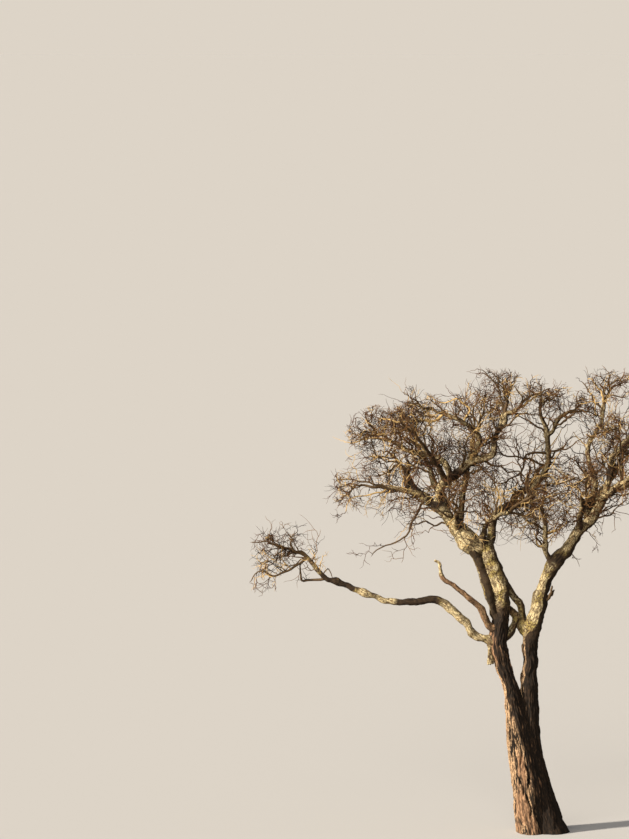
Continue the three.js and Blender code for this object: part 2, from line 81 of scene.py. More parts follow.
log = logging.getLogger("acacia")

CAD_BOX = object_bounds()
BODY = "root"
METRES = 0.001  # in a millimetre
OVER_REACH = 40  # by how much twigs may pass the solids' reach
TREE_LOW = np.array(CAD_BOX[0]) / METRES - OVER_REACH
TREE_HIGH = np.array(CAD_BOX[1]) / METRES + OVER_REACH

# The photograph's frame, and how the tree stands in it.
PHOTO_WIDTH, PHOTO_HEIGHT = 629, 839  # pixels
FOOT_PIXEL = (543, 836)  # the middle of the trunk at ground level
PIXEL_SIZE = 14  # millimetres of tree to a pixel

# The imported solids' own rule, in millimetres and shares.
TREE_SEED = 41
GOLDEN = (math.sqrt(5) - 1) / 2  # the turn, and the share of its parent, from one side twig to the next
LIMB_STEP = 190  # between two points of a limb's axis, about
LIMB_CROOK = 9  # how far each of those points may stand off
FORK_SLIDE = 0.45  # how far back a side limb's foot lies, against the distance to its first bend
LEADER_SUNK = 12  # how deep in its parent's tip a limb starts that grows on from there
MASS_FLATNESS = 0.8  # a mass's height against its width
TWIG_MARGIN = 14  # between a twig and a limb or its mass's border
STEM_GIRTH = 0.9  # a mass's stem against its bough's tip
STEM_SUNK = 10  # how deep in its bough's tip a mass's stem starts
STEM_FOLLOW = 0.5  # how much a stem keeps its bough's way
STEM_FILL = 0.8  # of the room ahead of it
STEM_LEAST = 0.4  # of the mass's reach
TWIG_FILL = 0.95  # of the room ahead of it
TWIG_TIP = 0.35  # a twig's radius at its tip against its foot
SHORTEST_TWIG = 70
SIDE_PLACES = (0.24, 0.98)  # the shares of a parent's length between which its side twigs leave it
LENGTH_DRAW = (0.7, 1.2)  # of a side twig's usual length
SPREAD_DRAW = (0.75, 1.25)  # of its order's spread

# What sets the seeds and the draws of one kind apart from another's.
STEM_SEED, STRAY_SEED, SPROUT_SEED, BRANCH_SEED = 500, 700, 800, 850
LIMB_WAVE_SEED, TWIG_WAVE_SEED = 900, 950
TONE_DRAW, BOW_DRAW, TURN_DRAW, KINK_DRAW = 31, 41, 61, 71

# The two stems that make up the trunk: right, back, up and radius, from the ground to the fork.
TRUNK_STEMS = {
    "trunk_left": ((-105, -20, 0, 225), (-165, -30, 300, 228), (-200, -35, 620, 218),
        (-268, -35, 1060, 200), (-345, -35, 1480, 160), (-400, -30, 1800, 126), (-438, -28, 2060, 110)),
    "trunk_right": ((70, 20, 0, 225), (30, 30, 300, 190), (-30, 40, 620, 172), (-130, 45, 1060, 158),
        (-176, 45, 1480, 148), (-180, 42, 1800, 138), (-178, 40, 2060, 129)),
}
LEVEL_BELOW = 500.0  # height below which the stems' rings turn level, towards the ground

# Heights over which each stem's young bark turns into old.
OLD_BETWEEN = {"trunk_left": (3330, 2980), "trunk_right": (2840, 2660)}

FLARE_HEIGHT = 210  # over which a root flare's lobe dies away
# Root flare: each lobe's bearing in degrees, its reach past the stem and its breadth in degrees.
FLARE_LOBES = {
    "trunk_left": ((100, 60, 34), (180, 26, 30), (250, 70, 32)),
    "trunk_right": ((-4, 112, 36), (70, 80, 30), (300, 84, 32)),
}


@dataclass(frozen=True)
class Limb:
    """One limb: what it springs from, the bends of its axis and its girth at even steps."""

    parent: str
    bends: tuple[Place, ...]
    girth: tuple[float, ...]


# In the order in which they grow.
LIMBS = {
    "left_stem": Limb("trunk_left", ((-505, -26, 2260), (-571, -20, 2470), (-612, -10, 2740),
        (-568, 0, 3160), (-590, 5, 3440), (-682, 10, 3720), (-800, 20, 4020)),
        (205, 205, 240, 212, 210, 235, 225)),
    "right_stem": Limb("trunk_right", ((-168, 38, 2460), (-158, 34, 2750), (-88, 28, 3030),
        (-28, 24, 3300), (66, 20, 3590), (170, 15, 3810)), (240, 225, 235, 190, 205, 192, 190)),
    "left_bough": Limb("left_stem", ((-968, 10, 4078), (-1092, 0, 4178), (-1205, -10, 4300),
        (-1440, -20, 4590), (-1680, -30, 4770)), (245, 262, 190, 145, 125)),
    "right_bough": Limb("right_stem", ((255, 5, 3920), (345, 0, 4020), (535, -20, 4284),
        (670, -40, 4430), (770, -50, 4570), (868, -60, 4760)), (178, 185, 165, 132, 120, 112)),
    "middle_bough": Limb("left_stem", ((-722, 40, 4190), (-705, 50, 4390), (-605, 60, 4535),
        (-400, 75, 4620), (-168, 90, 4704)), (125, 115, 112, 110)),
    "middle_upright": Limb("middle_bough", ((-130, 105, 4860), (28, 150, 5070), (84, 170, 5240),
        (84, 180, 5460), (50, 195, 5660), (-28, 200, 5850)), (88, 80, 76, 68, 58)),
    "fork_limb": Limb("middle_upright", ((140, 195, 5660), (240, 210, 5830), (380, 220, 5920)),
        (66, 56, 46)),
    "winding_bough": Limb("right_bough", ((600, 70, 4600), (700, 115, 4760), (742, 150, 4930),
        (672, 190, 5208), (636, 215, 5380), (690, 235, 5530), (820, 245, 5760), (862, 255, 6010)),
        (130, 104, 80, 68, 66, 60, 56)),
    "right_upright": Limb("right_bough", ((905, -72, 4920), (966, -88, 5170), (950, -92, 5290),
        (1060, -80, 5400), (1204, -55, 5560), (1340, -40, 5690)), (84, 78, 90, 104, 86)),
    "right_outer": Limb("right_bough", ((985, -52, 4845), (1092, -40, 4905), (1270, -10, 4970),
        (1500, 40, 5060)), (112, 100, 78)),
    "right_riser": Limb("right_outer", ((1112, -70, 5000), (1108, -110, 5124), (1098, -190, 5270)),
        (54, 46, 40)),
    "left_riser": Limb("left_bough", ((-1430, -62, 4850), (-1344, -100, 4985), (-1218, -150, 5096),
        (-960, -205, 5262), (-720, -222, 5370)), (128, 120, 112, 100)),
    "crown_limb": Limb("left_riser", ((-690, -220, 5460), (-680, -214, 5580), (-570, -202, 5780),
        (-540, -196, 5930)), (84, 78, 112, 66)),
    "crown_fork": Limb("crown_limb", ((-470, -182, 5950), (-360, -168, 6020)), (60, 50)),
    "upper_left": Limb("left_riser", ((-950, -225, 5440), (-905, -245, 5590), (-1050, -256, 5760),
        (-1260, -258, 5870), (-1390, -250, 5925)), (72, 70, 66, 52)),
    "left_side": Limb("left_riser", ((-1345, -112, 5190), (-1442, -90, 5285), (-1652, -60, 5350),
        (-1862, -40, 5395), (-2080, 0, 5515)), (86, 80, 68, 58)),
    "left_knot": Limb("left_bough", ((-1810, -22, 4850), (-1890, -8, 4970), (-1905, 10, 5100)),
        (116, 112, 72)),
    "left_low": Limb("left_bough", ((-1760, -72, 4800), (-1930, -90, 4835), (-2180, -115, 4880)),
        (84, 68, 52)),
    "front_limb": Limb("left_stem", ((-692, -36, 3090), (-718, -46, 3220), (-748, -50, 3360),
        (-786, -50, 3530), (-852, -46, 3706), (-922, -40, 3900), (-990, -34, 4020)),
        (84, 92, 136, 142, 116)),
    "cross_limb": Limb("right_stem", ((-255, 78, 2930), (-290, 92, 3180), (-378, 96, 3304),
        (-490, 80, 3470), (-610, 20, 3650)), (118, 114, 108, 98)),
    "cross_brace": Limb("right_stem", ((-285, 112, 2860), (-368, 120, 3040), (-470, 90, 3150),
        (-575, 10, 3260)), (108, 106, 96)),
    "low_brace": Limb("left_stem", ((-490, 40, 2790), (-420, 72, 2900), (-360, 110, 3020)),
        (124, 112, 90)),
    "inner_upright": Limb("right_stem", ((62, -20, 3925), (30, -50, 4074), (26, -90, 4214),
        (18, -140, 4350)), (84, 68, 60)),
    "front_upright": Limb("left_stem", ((-850, -80, 4110), (-826, -220, 4300), (-740, -470, 4460),
        (-610, -760, 4570), (-500, -900, 4630)), (84, 72, 56)),
    "front_bough": Limb("left_bough", ((-1190, -180, 4370), (-1220, -460, 4460), (-1230, -780, 4550)),
        (98, 82, 60)),
    "front_left_bough": Limb("left_riser", ((-1410, -230, 5080), (-1540, -450, 5290),
        (-1700, -640, 5540)), (84, 72, 54)),
    "back_left_bough": Limb("left_bough", ((-1350, 160, 4590), (-1480, 440, 4850), (-1630, 760, 5200)),
        (112, 96, 68)),
    "back_riser": Limb("left_bough", ((-1150, 200, 4480), (-1090, 460, 4870), (-960, 780, 5420)),
        (104, 88, 62)),
    "back_mid_bough": Limb("middle_bough", ((-360, 260, 4730), (-240, 560, 4800), (-100, 900, 4880)),
        (92, 80, 62)),
    "back_right_bough": Limb("right_bough", ((640, 150, 4500), (850, 460, 4760), (1080, 800, 5040)),
        (104, 90, 66)),
    "front_right_bough": Limb("right_bough", ((830, -210, 4760), (1060, -480, 4960),
        (1290, -760, 5150)), (98, 84, 60)),
    "front_mid_bough": Limb("right_bough", ((510, -180, 4400), (530, -480, 4640), (500, -820, 4800)),
        (86, 74, 54)),
    "dead_spur": Limb("left_stem", ((-755, -50, 2930), (-880, -90, 3195), (-1090, -120, 3390),
        (-1240, -135, 3508), (-1400, -145, 3610), (-1442, -148, 3730), (-1442, -150, 3815),
        (-1500, -152, 3850)), (104, 98, 84, 70, 58, 40)),
    "low_bough": Limb("left_stem", ((-770, -30, 2730), (-970, -50, 2815), (-1055, -62, 2960),
        (-1290, -76, 3172), (-1490, -88, 3300), (-1730, -94, 3278), (-1990, -98, 3270),
        (-2212, -98, 3300)), (132, 116, 112, 108, 92, 78)),
    "low_reach": Limb("low_bough", ((-2350, -96, 3360), (-2604, -92, 3444), (-2772, -90, 3514),
        (-3052, -86, 3626), (-3170, -84, 3740), (-3310, -84, 3900)), (72, 88, 76, 68, 58)),
}

STUB_LIMB = "low_bough"  # a broken stub hangs under its foot
STUB_ENDS = ((-742, -40, 2730), (-704, -46, 2386))
STUB_GIRTH = (92, 72, 100, 80)  # with its bark, from its foot to its broken end
STUB_PLACES = (0, 0.5, 0.86, 1)  # the shares of its length that have this girth
STUB_SWAY = ((10, 5), (6, 7), (0, 1))  # right, back and up: how far it sways, and over how many radians
STUB_RELIEF = {"lumps": 5, "furrows": 3, "splinters": 22}
STUB_FURROWS = (15.0, 5.0)  # width, and length against it
STUB_PALE = (0.1, 0.5)  # the shares of its length over which it turns pale
STUB_LICHEN = 0.3
STUB_HOLLOW = 26.0  # how deep its broken end is


@dataclass(frozen=True)
class Mass:
    """One mass of twigs: the bough whose tip carries it, the middle of its space and its half width."""

    on: str
    middle: Place
    reach: float


MASSES = {
    "far_left_low_twigs": Mass("left_low", (-2520, -150, 4880), 480),
    "far_left_mid_twigs": Mass("left_knot", (-2300, 80, 5220), 480),
    "far_left_high_twigs": Mass("left_side", (-2320, 60, 5660), 470),
    "left_top_twigs": Mass("upper_left", (-1640, -160, 5980), 500),
    "front_left_twigs": Mass("front_left_bough", (-1850, -980, 5720), 560),
    "front_heart_twigs": Mass("front_bough", (-1230, -1200, 4720), 560),
    "front_centre_twigs": Mass("front_upright", (-300, -1220, 4820), 540),
    "peak_twigs": Mass("crown_limb", (-600, -190, 6235), 450),
    "peak_right_twigs": Mass("crown_fork", (-120, -160, 6150), 430),
    "middle_top_twigs": Mass("middle_upright", (40, 280, 6050), 470),
    "centre_heart_twigs": Mass("inner_upright", (10, -240, 4760), 560),
    "fork_twigs": Mass("fork_limb", (500, 240, 5960), 380),
    "right_top_twigs": Mass("winding_bough", (930, 260, 6240), 450),
    "right_inner_twigs": Mass("right_riser", (1060, -420, 5640), 450),
    "far_right_high_twigs": Mass("right_upright", (1640, -40, 5920), 520),
    "far_right_twigs": Mass("right_outer", (1900, 80, 5260), 540),
    "front_right_twigs": Mass("front_right_bough", (1540, -1160, 5440), 580),
    "front_mid_twigs": Mass("front_mid_bough", (540, -1320, 5060), 540),
    "back_left_twigs": Mass("back_left_bough", (-1820, 1130, 5560), 600),
    "back_top_twigs": Mass("back_riser", (-820, 1100, 5820), 560),
    "back_mid_twigs": Mass("back_mid_bough", (20, 1400, 5060), 600),
    "back_right_twigs": Mass("back_right_bough", (1300, 1220, 5400), 620),
    "low_end_twigs": Mass("low_reach", (-3650, -90, 3880), 490),
}

# The parts of the crown whose masses are joined.
REGIONS = {
    "left_crown": ("far_left_low_twigs", "far_left_mid_twigs", "far_left_high_twigs", "left_top_twigs"),
    "front_crown": ("front_left_twigs", "front_heart_twigs", "front_centre_twigs", "front_mid_twigs",
                    "front_right_twigs"),
    "middle_crown": ("peak_twigs", "peak_right_twigs", "middle_top_twigs", "centre_heart_twigs",
                     "fork_twigs"),
    "right_crown": ("right_top_twigs", "right_inner_twigs", "far_right_high_twigs", "far_right_twigs"),
    "back_crown": ("back_left_twigs", "back_top_twigs", "back_mid_twigs", "back_right_twigs"),
    "low_end": ("low_end_twigs",),
}


@dataclass(frozen=True)
class Order:
    """How the twigs of one order branch off and bend.

    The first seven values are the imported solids' own. More is how many twigs each parent carries besides.
    Bow is how far a twig's middle stands off its chord against its length, hook how far its tip does, and
    kink how far each of its corners does.
    """

    children: int
    pieces: int
    share: float
    spread: float  # degrees
    wander: float
    lift: float
    thickness: float
    more: int = 0
    bow: float = 0.0
    hook: float = 0.0
    kink: float = 0.0
    corners: int = 6
    steps: int = 6
    sides: int = 3


ORDERS = (
    Order(1, 3, 1.0, 0, 0.22, 0.05, 1.0, bow=0.04, kink=0.03, steps=18, sides=8),
    Order(7, 2, 0.98, 62, 0.34, 0.06, 0.5, more=1, bow=0.05, hook=0.04, kink=0.04, steps=18, sides=6),
    Order(3, 1, 0.66, 54, 0.42, 0.04, 0.52, more=4, bow=0.06, hook=0.06, kink=0.05, steps=12, sides=5),
    Order(0, 2, 0.85, 58, 0.6, 0.03, 0.75, more=3, bow=0.06, hook=0.08, kink=0.06, corners=4, steps=8),
    Order(0, 2, 0.7, 60, 0.6, 0.02, 0.8, more=1, bow=0.06, hook=0.1, kink=0.07, corners=3),
)
SPRAY_ORDER = 2  # a twig of this order and all that it carries make one spray
FINE_ORDER = 3  # from here on a twig gives way where the photograph shows sky
SHORTEST_FINE = 40
TWIG_BARK = 1.35  # by how much twigs with their bark are thicker than the solids
LEAST_RADIUS = 3.2  # of the finest twigs, a little larger than life
LEAST_TIP = 0.6 * LEAST_RADIUS
BOW_LEAST = 0.3  # of its order's bow, for a twig's arch
WEAVE_SHARE = 0.5  # of its order's bow, for its double bend
BEND_MOST = 1.4  # of its order's bow or hook
KINK_REACH = (0.2, 1.5)  # of its order's kink
KINK_CHANCE = 2.4  # radians, the range over which a kink's side is drawn


@dataclass(frozen=True)
class Stray:
    """One branch seen by itself: its limb, bends, girth at the foot, side twigs and tone."""

    parent: str
    bends: tuple[Place, ...]
    girth: float
    twigs: int = 6
    # A pale stray takes the straw tone, partly a painted highlight.
    pale: bool = False


# The branches that the photograph shows by themselves.
STRAYS = {
    "hooked_arc": Stray("middle_upright", ((-182, 120, 5348), (-252, 90, 5278), (-266, 60, 5124),
        (-392, 20, 5040), (-602, -30, 4928), (-770, -70, 5054)), 30, 5),
    "arc_riser": Stray("middle_upright", ((-322, 60, 5292), (-560, 10, 5334), (-630, -20, 5432),
        (-714, -60, 5656), (-784, -80, 5810)), 26, 9),
    "fork_reach": Stray("fork_limb", ((470, 225, 5925), (658, 230, 5922), (770, 232, 5852)), 30, 8),
    "upright_side": Stray("middle_upright", ((238, 150, 5390), (350, 120, 5418), (560, 80, 5572)),
        24, 7),
    "lit_twig": Stray("middle_upright", ((-154, 40, 4984), (28, -60, 5068), (150, -110, 5080)),
        18, 3, True),
    "peak_sprig": Stray("crown_limb", ((-574, -200, 6034), (-560, -206, 6160), (-590, -210, 6260)),
        22, 7),
    "peak_reach": Stray("crown_fork", ((-252, -150, 6062), (-112, -140, 6132), (28, -130, 6202)),
        30, 9, True),
    "peak_hook": Stray("crown_fork", ((-308, -180, 6146), (-364, -190, 6244), (-420, -196, 6314),
        (-532, -200, 6272)), 20, 4),
    "peak_spire": Stray("crown_limb", ((-610, -200, 6120), (-616, -205, 6230), (-672, -210, 6356),
        (-714, -214, 6412), (-882, -220, 6570)), 26, 7),
    "peak_fork": Stray("crown_limb", ((-640, -190, 6300), (-620, -180, 6420), (-574, -176, 6560)),
        16, 4),
    "left_top_reach": Stray("upper_left", ((-1484, -240, 5850), (-1700, -200, 5838),
        (-2044, -150, 5810), (-2254, -120, 5856), (-2300, -110, 5830), (-2240, -100, 5768)),
        34, 10, True),
    "left_top_upright": Stray("upper_left", ((-1620, -240, 5936), (-1638, -245, 6118)), 14, 2, True),
    "left_top_wave": Stray("upper_left", ((-1040, -262, 5990), (-1120, -268, 6076), (-1204, -272, 6146),
        (-1302, -272, 6132), (-1386, -268, 6076), (-1484, -262, 6118), (-1582, -256, 6188)),
        24, 6, True),
    "left_side_riser": Stray("left_side", ((-2200, -20, 5300), (-2338, -30, 5334), (-2380, -30, 5460),
        (-2408, -20, 5600), (-2352, -10, 5740)), 22, 6),
    "left_side_tip": Stray("left_side", ((-2260, -20, 5560), (-2450, -30, 5572), (-2562, -35, 5530),
        (-2674, -40, 5502), (-2800, -40, 5502)), 22, 6, True),
    "left_top_spire": Stray("upper_left", ((-1440, -250, 6010), (-1560, -240, 6110),
        (-1582, -230, 6196)), 20, 7),
    "left_top_sprig": Stray("upper_left", ((-1180, -280, 5980), (-1232, -290, 6132)), 16, 6),
    "left_side_high": Stray("left_side", ((-2254, 20, 5640), (-2300, 30, 5780), (-2254, 40, 5866)),
        22, 8),
    "left_side_far": Stray("left_side", ((-2300, 0, 5560), (-2480, -20, 5660), (-2660, -40, 5740)),
        22, 8),
    "lit_branch": Stray("left_riser", ((-1022, -260, 5320), (-882, -300, 5502), (-728, -330, 5628)),
        32, 6, True),
    "left_long_tip": Stray("left_low", ((-2282, -130, 4928), (-2560, -150, 4985), (-2842, -160, 5012),
        (-2940, -165, 4942)), 26, 6),
    "left_arch": Stray("left_low", ((-2300, -170, 4830), (-2534, -200, 4774), (-2702, -220, 4704),
        (-2758, -230, 4536)), 20, 5, True),
    "droop": Stray("left_bough", ((-1694, -60, 4662), (-1750, -80, 4536), (-1834, -95, 4340),
        (-1918, -100, 4186), (-2100, -110, 4102), (-2338, -120, 3990), (-2408, -124, 3906)), 28, 4),
    "low_arch": Stray("low_reach", ((-3040, -90, 3722), (-3010, -92, 3736), (-2968, -96, 3654),
        (-2940, -98, 3598)), 16, 0),
    "low_loop": Stray("low_reach", ((-3094, -60, 3600), (-3262, -40, 3556), (-3346, -50, 3556),
        (-3388, -60, 3640), (-3395, -70, 3780), (-3360, -80, 3836)), 34, 1),
    "low_end_reach": Stray("low_reach", ((-3542, -110, 4018), (-3752, -130, 4074), (-3892, -140, 4130),
        (-4102, -150, 4102)), 34, 12),
    "low_end_middle": Stray("low_reach", ((-3402, -60, 3948), (-3542, -30, 3948), (-3682, 0, 3906)),
        26, 7),
    "low_end_under": Stray("low_reach", ((-3444, -120, 3790), (-3570, -140, 3738), (-3682, -150, 3682),
        (-3822, -150, 3668), (-3920, -140, 3710), (-4004, -130, 3682), (-4060, -130, 3584),
        (-4116, -130, 3528)), 30, 9),
    "low_end_fork": Stray("low_reach", ((-3600, -60, 3730), (-3780, -40, 3620), (-3900, -30, 3530),
        (-3990, -30, 3500)), 16, 5),
    "low_end_riser": Stray("low_reach", ((-3500, -60, 4018), (-3500, -40, 4186), (-3416, -30, 4284)),
        18, 5),
    "low_end_spire": Stray("low_reach", ((-3440, -120, 4010), (-3520, -150, 4180), (-3612, -170, 4326)),
        16, 4),
    "inner_side": Stray("inner_upright", ((140, -120, 4270), (308, -150, 4354), (350, -160, 4452)),
        22, 4, True),
    "inner_left": Stray("inner_upright", ((-40, -60, 4060), (-90, -70, 4160), (-120, -80, 4290)),
        24, 4, True),
    "bough_spur": Stray("right_bough", ((798, -110, 4536), (910, -150, 4606), (1022, -180, 4648)),
        24, 4),
    "hanging_high": Stray("right_bough", ((728, -100, 4354), (798, -120, 4214)), 10, 2),
    "hanging_mid": Stray("right_bough", ((640, -90, 4234), (740, -110, 4110), (798, -120, 4060)),
        10, 2),
    "hanging_low": Stray("right_bough", ((448, -70, 3892), (518, -90, 3752)), 9, 1),
    "winding_stub": Stray("winding_bough", ((640, 150, 5590), (588, 130, 5614)), 30, 0, True),
    "winding_lit": Stray("winding_bough", ((756, 200, 5894), (714, 180, 6146)), 22, 3, True),
    "winding_top": Stray("winding_bough", ((854, 240, 6160), (812, 230, 6230), (714, 220, 6356),
        (644, 215, 6384)), 30, 6, True),
    "winding_crest": Stray("winding_bough", ((896, 250, 6300), (980, 240, 6370)), 24, 5, True),
    "winding_right": Stray("winding_bough", ((938, 240, 6132), (1078, 220, 6146), (1204, 200, 6132)),
        24, 7),
    "spur_high": Stray("right_stem", ((64, -20, 3290), (112, -34, 3380), (160, -42, 3500)), 52, 0),
    "spur_low": Stray("right_stem", ((96, 0, 3340), (180, 8, 3420)), 40, 0),
}
STRAY_SAMPLES = 12  # to each of its knots, where its bends are turned into a curve
STRAY_STEPS = 18
STRAY_CORNERS = 9
STRAY_KINK = 8.0  # millimetres
STRAY_SHARE = 0.5  # usual length of a stray's side twigs against its own

# Limbs that carry growth along them: the first share of their length that does, how many sprouts, and how
# many side branches.
SPROUTING = {
    "left_bough": (0.5, 14, 5), "left_riser": (0.1, 20, 6), "left_side": (0.15, 16, 4),
    "upper_left": (0.2, 18, 4), "left_low": (0.2, 9, 2), "left_knot": (0.2, 7, 3),
    "crown_limb": (0.1, 9, 2), "crown_fork": (0.3, 4, 1), "middle_bough": (0.3, 20, 6),
    "middle_upright": (0.1, 15, 3),
    "fork_limb": (0.2, 7, 1), "winding_bough": (0.15, 18, 4), "right_bough": (0.6, 8, 3),
    "right_upright": (0.2, 14, 4), "right_outer": (0.2, 9, 3), "right_riser": (0.2, 5, 1),
    "inner_upright": (0.4, 9, 3), "front_upright": (0.5, 9, 3), "front_bough": (0.6, 7, 2),
    "front_left_bough": (0.2, 9, 2), "back_left_bough": (0.2, 11, 3), "back_riser": (0.2, 12, 3),
    "back_mid_bough": (0.2, 11, 3), "back_right_bough": (0.2, 11, 3), "front_right_bough": (0.2, 9, 2),
    "front_mid_bough": (0.2, 10, 2), "low_reach": (0.75, 6, 0),
}
SPROUT_LENGTH = (240, 500)
SPROUT_RADIUS = (5.0, 8.5)
BRANCH_LENGTH = (420, 820)
BRANCH_RADIUS = (9.5, 14.5)
SPROUT_RISE = 0.35  # how much a sprout turns up
SPROUT_FORWARD = 0.45  # how much it leans along its limb
SPROUT_SUNK = 0.6  # of its limb's radius, from the axis to its foot
SPROUT_STEP = 20.0  # between two places on its limb's axis where it may stand
SPROUT_CHANCE = 0.3  # of a turn, the range that is added to its bearing by chance
SPROUT_OUTER = (0.45, 0.7, 1.0)  # the shares of its length that have to be clear of the limbs

# The fields that bend the tree: in each set, the waves' length and swing.
LIMB_WAVES = ((430.0, 15.0), (170.0, 9.0), (76.0, 4.0))
WAVES_FROM = (900.0, 2300.0)  # heights over which the limbs' field sets in
TWIG_WAVES = ((150.0, 9.0),)
STILL = 160.0  # over which the twigs' field sets in, from where a branch leaves the wood

# How high the crown stands along its width, from the photograph: right and up.
CROWN_TOP = (
    (-2940, 5194), (-2772, 5754), (-2632, 5936), (-2394, 6048), (-2002, 6076), (-1722, 6160),
    (-1582, 6244), (-1190, 6216), (-1022, 6440), (-854, 6608), (-532, 6636), (-406, 6356), (28, 6300),
    (308, 6202), (518, 6328), (658, 6468), (1204, 6496), (2198, 6240),
)

# Where the photograph shows sky through the crown: right, up, half width and half height.
SKY = ((-322, 5138, 250, 190), (-322, 5712, 190, 220), (364, 5474, 200, 330), (-2177, 5320, 100, 120),
       (-1617, 4992, 140, 120), (1008, 4396, 210, 300), (-1550, 4480, 120, 120), (-3700, 3230, 480, 150),
       (-2352, 4250, 420, 140))


def mix(a: Array | int, b: Array | int) -> Array:
    """A repeatable whole number from two others: multiplied, shifted and folded within 32 bits."""
    mask = np.uint64(0xFFFFFFFF)
    step = (np.asarray(b, np.uint64) + np.uint64(1)) * np.uint64(0x9E3779B9) & mask
    h = np.asarray(a, np.uint64) ^ step
    h = (h ^ (h >> np.uint64(16))) * np.uint64(0x85EBCA6B) & mask
    h = (h ^ (h >> np.uint64(13))) * np.uint64(0xC2B2AE35) & mask
    return h ^ (h >> np.uint64(16))


def draw(seed: Array | int, k: int) -> Array:
    """The k-th draw of each seed, from 0 to 1."""
    return mix(seed, 1000 + k) / 4294967296.0


def draw_between(limits: Pair, seed: Array | int, k: int) -> Array:
    """A draw of each seed between two limits."""
    return limits[0] + (limits[1] - limits[0]) * draw(seed, k)


def draw_vector(seed: Array | int, k: int) -> Array:
    """Three draws of each seed, each from -1 to 1, along a new last axis."""
    return np.stack([2 * draw(seed, k + i) - 1 for i in range(3)], axis=-1)


def unit(vectors: Array) -> Array:
    """Vectors along the last axis at length 1."""
    return vectors / np.maximum(np.linalg.norm(vectors, axis=-1, keepdims=True), 1e-9)


def sideways(heading: Array) -> tuple[Array, Array]:
    """Two directions square to each heading: u is heading x reference, v is heading x u."""
    steep = np.abs(heading[..., 2:3]) > 0.9
    reference = np.where(steep, np.array([1.0, 0, 0]), np.array([0, 0, 1.0]))
    u = unit(np.cross(heading, reference))
    return u, np.cross(heading, u)


def around(u: Array, v: Array, angle: Array) -> Array:
    """The directions at angles in radians from u towards v."""
    return u * np.cos(angle)[..., None] + v * np.sin(angle)[..., None]


def smooth_step(low: float | Array, high: float | Array, value: Array) -> Array:
    """0 below low, 1 above high, and 3t^2 - 2t^3 between them."""
    t = np.clip((value - low) / (high - low), 0.0, 1.0)
    return t * t * (3 - 2 * t)


def lattice_noise(cells: Array, seed: int) -> Array:
    """Gradient noise at points given in lattice cells.

    Each of the eight corners round a point has a seeded direction. The direction's dot with the way from
    the corner to the point is blended along each axis by 6t^5 - 15t^4 + 10t^3.

    Args:
        cells: points, (..., 3), one lattice cell to a unit.
        seed: which noise.

    Returns:
        Values from about -1 to 1, of the shape of cells without its last axis.
    """
    flat = cells.reshape(-1, 3)
    base = np.floor(flat).astype(np.int64)
    t = flat - base
    fade = t * t * t * (t * (t * 6 - 15) + 10)
    total = np.zeros(len(flat))
    primes = np.array([374761393, 668265263, 2147483647])
    for corner in np.ndindex(2, 2, 2):
        h = ((base + np.array(corner)) @ primes + seed * 1274126177) & 0xFFFFFFFF
        h = ((h ^ (h >> 13)) * 1103515245) & 0xFFFFFFFF
        h = ((h ^ (h >> 16)) * 1540483477) & 0xFFFFFFFF
        gradient = np.stack([(h >> shift & 1023) / 511.5 - 1 for shift in (0, 10, 20)], axis=-1)
        weight = np.prod(np.where(np.array(corner) == 1, fade, 1 - fade), axis=1)
        total += weight * np.sum(gradient * (t - np.array(corner)), axis=1)
    return 1.3 * total.reshape(cells.shape[:-1])


def waves(points: Array, sets: tuple[Pair, ...], first_seed: int) -> Array:
    """A smooth field of space: in each set four seeded sine waves, each with its own travel and swing."""
    total = np.zeros_like(points)
    for number, (length, swing) in enumerate(sets):
        for k in range(4):
            seed = int(mix(TREE_SEED, first_seed + 10 * number + k))
            travel = unit(draw_vector(seed, 0)) * (2 * np.pi / length)
            way = unit(draw_vector(seed, 5)) * (swing / 2)
            total += np.sin(points @ travel + 2 * np.pi * draw(seed, 9))[..., None] * way
    return total


def bent(points: Array) -> Array:
    """Points of limbs and twigs alike moved by one field, so that what is joined stays joined."""
    swing = waves(points, LIMB_WAVES, LIMB_WAVE_SEED)
    return points + swing * smooth_step(*WAVES_FROM, points[..., 2])[..., None]


def curve_at(knots: Array, places: Array) -> Array:
    """Points of the smooth curve through the knots.

    Between knots p1 and p2 it is the cubic that leaves p1 along half of p2 - p0 and reaches p2 along half
    of p3 - p1, with the ends extrapolated.

    Args:
        knots: (n, 3).
        places: knot numbers with their fractions, (m,).

    Returns:
        Points, (m, 3).
    """
    ends = np.vstack([2 * knots[0] - knots[1], knots, 2 * knots[-1] - knots[-2]])
    k = np.clip(np.floor(places).astype(int), 0, len(knots) - 2)
    w = (places - k)[:, None]
    p0, p1, p2, p3 = (ends[k + i] for i in range(4))
    leave, reach = (p2 - p0) / 2, (p3 - p1) / 2
    return p1 + w * (leave + w * (3 * (p2 - p1) - 2 * leave - reach + w * (2 * (p1 - p2) + leave + reach)))


def run_lengths(points: Array) -> Array:
    """How far along a path each of its points lies."""
    return np.concatenate([[0.0], np.cumsum(np.linalg.norm(np.diff(points, axis=0), axis=1))])


def even_points(points: Array, places: Array) -> Array:
    """Points of a path at given distances along it, straight between its own points."""
    lengths = run_lengths(points)
    return np.stack([np.interp(places, lengths, points[:, k]) for k in range(3)], axis=1)


@dataclass
class Axis:
    """A limb's centre line and its radius at each point."""

    points: Array
    radii: Array

    def finer(self, step: float) -> "Axis":
        """The same line as a smooth curve with a point at each step."""
        places = np.linspace(0, len(self.points) - 1, 16 * (len(self.points) - 1) + 1)
        dense = curve_at(self.points, places)
        lengths = run_lengths(dense)
        count = max(3, int(round(lengths[-1] / step)) + 1)
        at = np.linspace(0, lengths[-1], count)
        radii = np.interp(np.interp(at, lengths, places), np.arange(len(self.radii)), self.radii)
        return Axis(even_points(dense, at), radii)


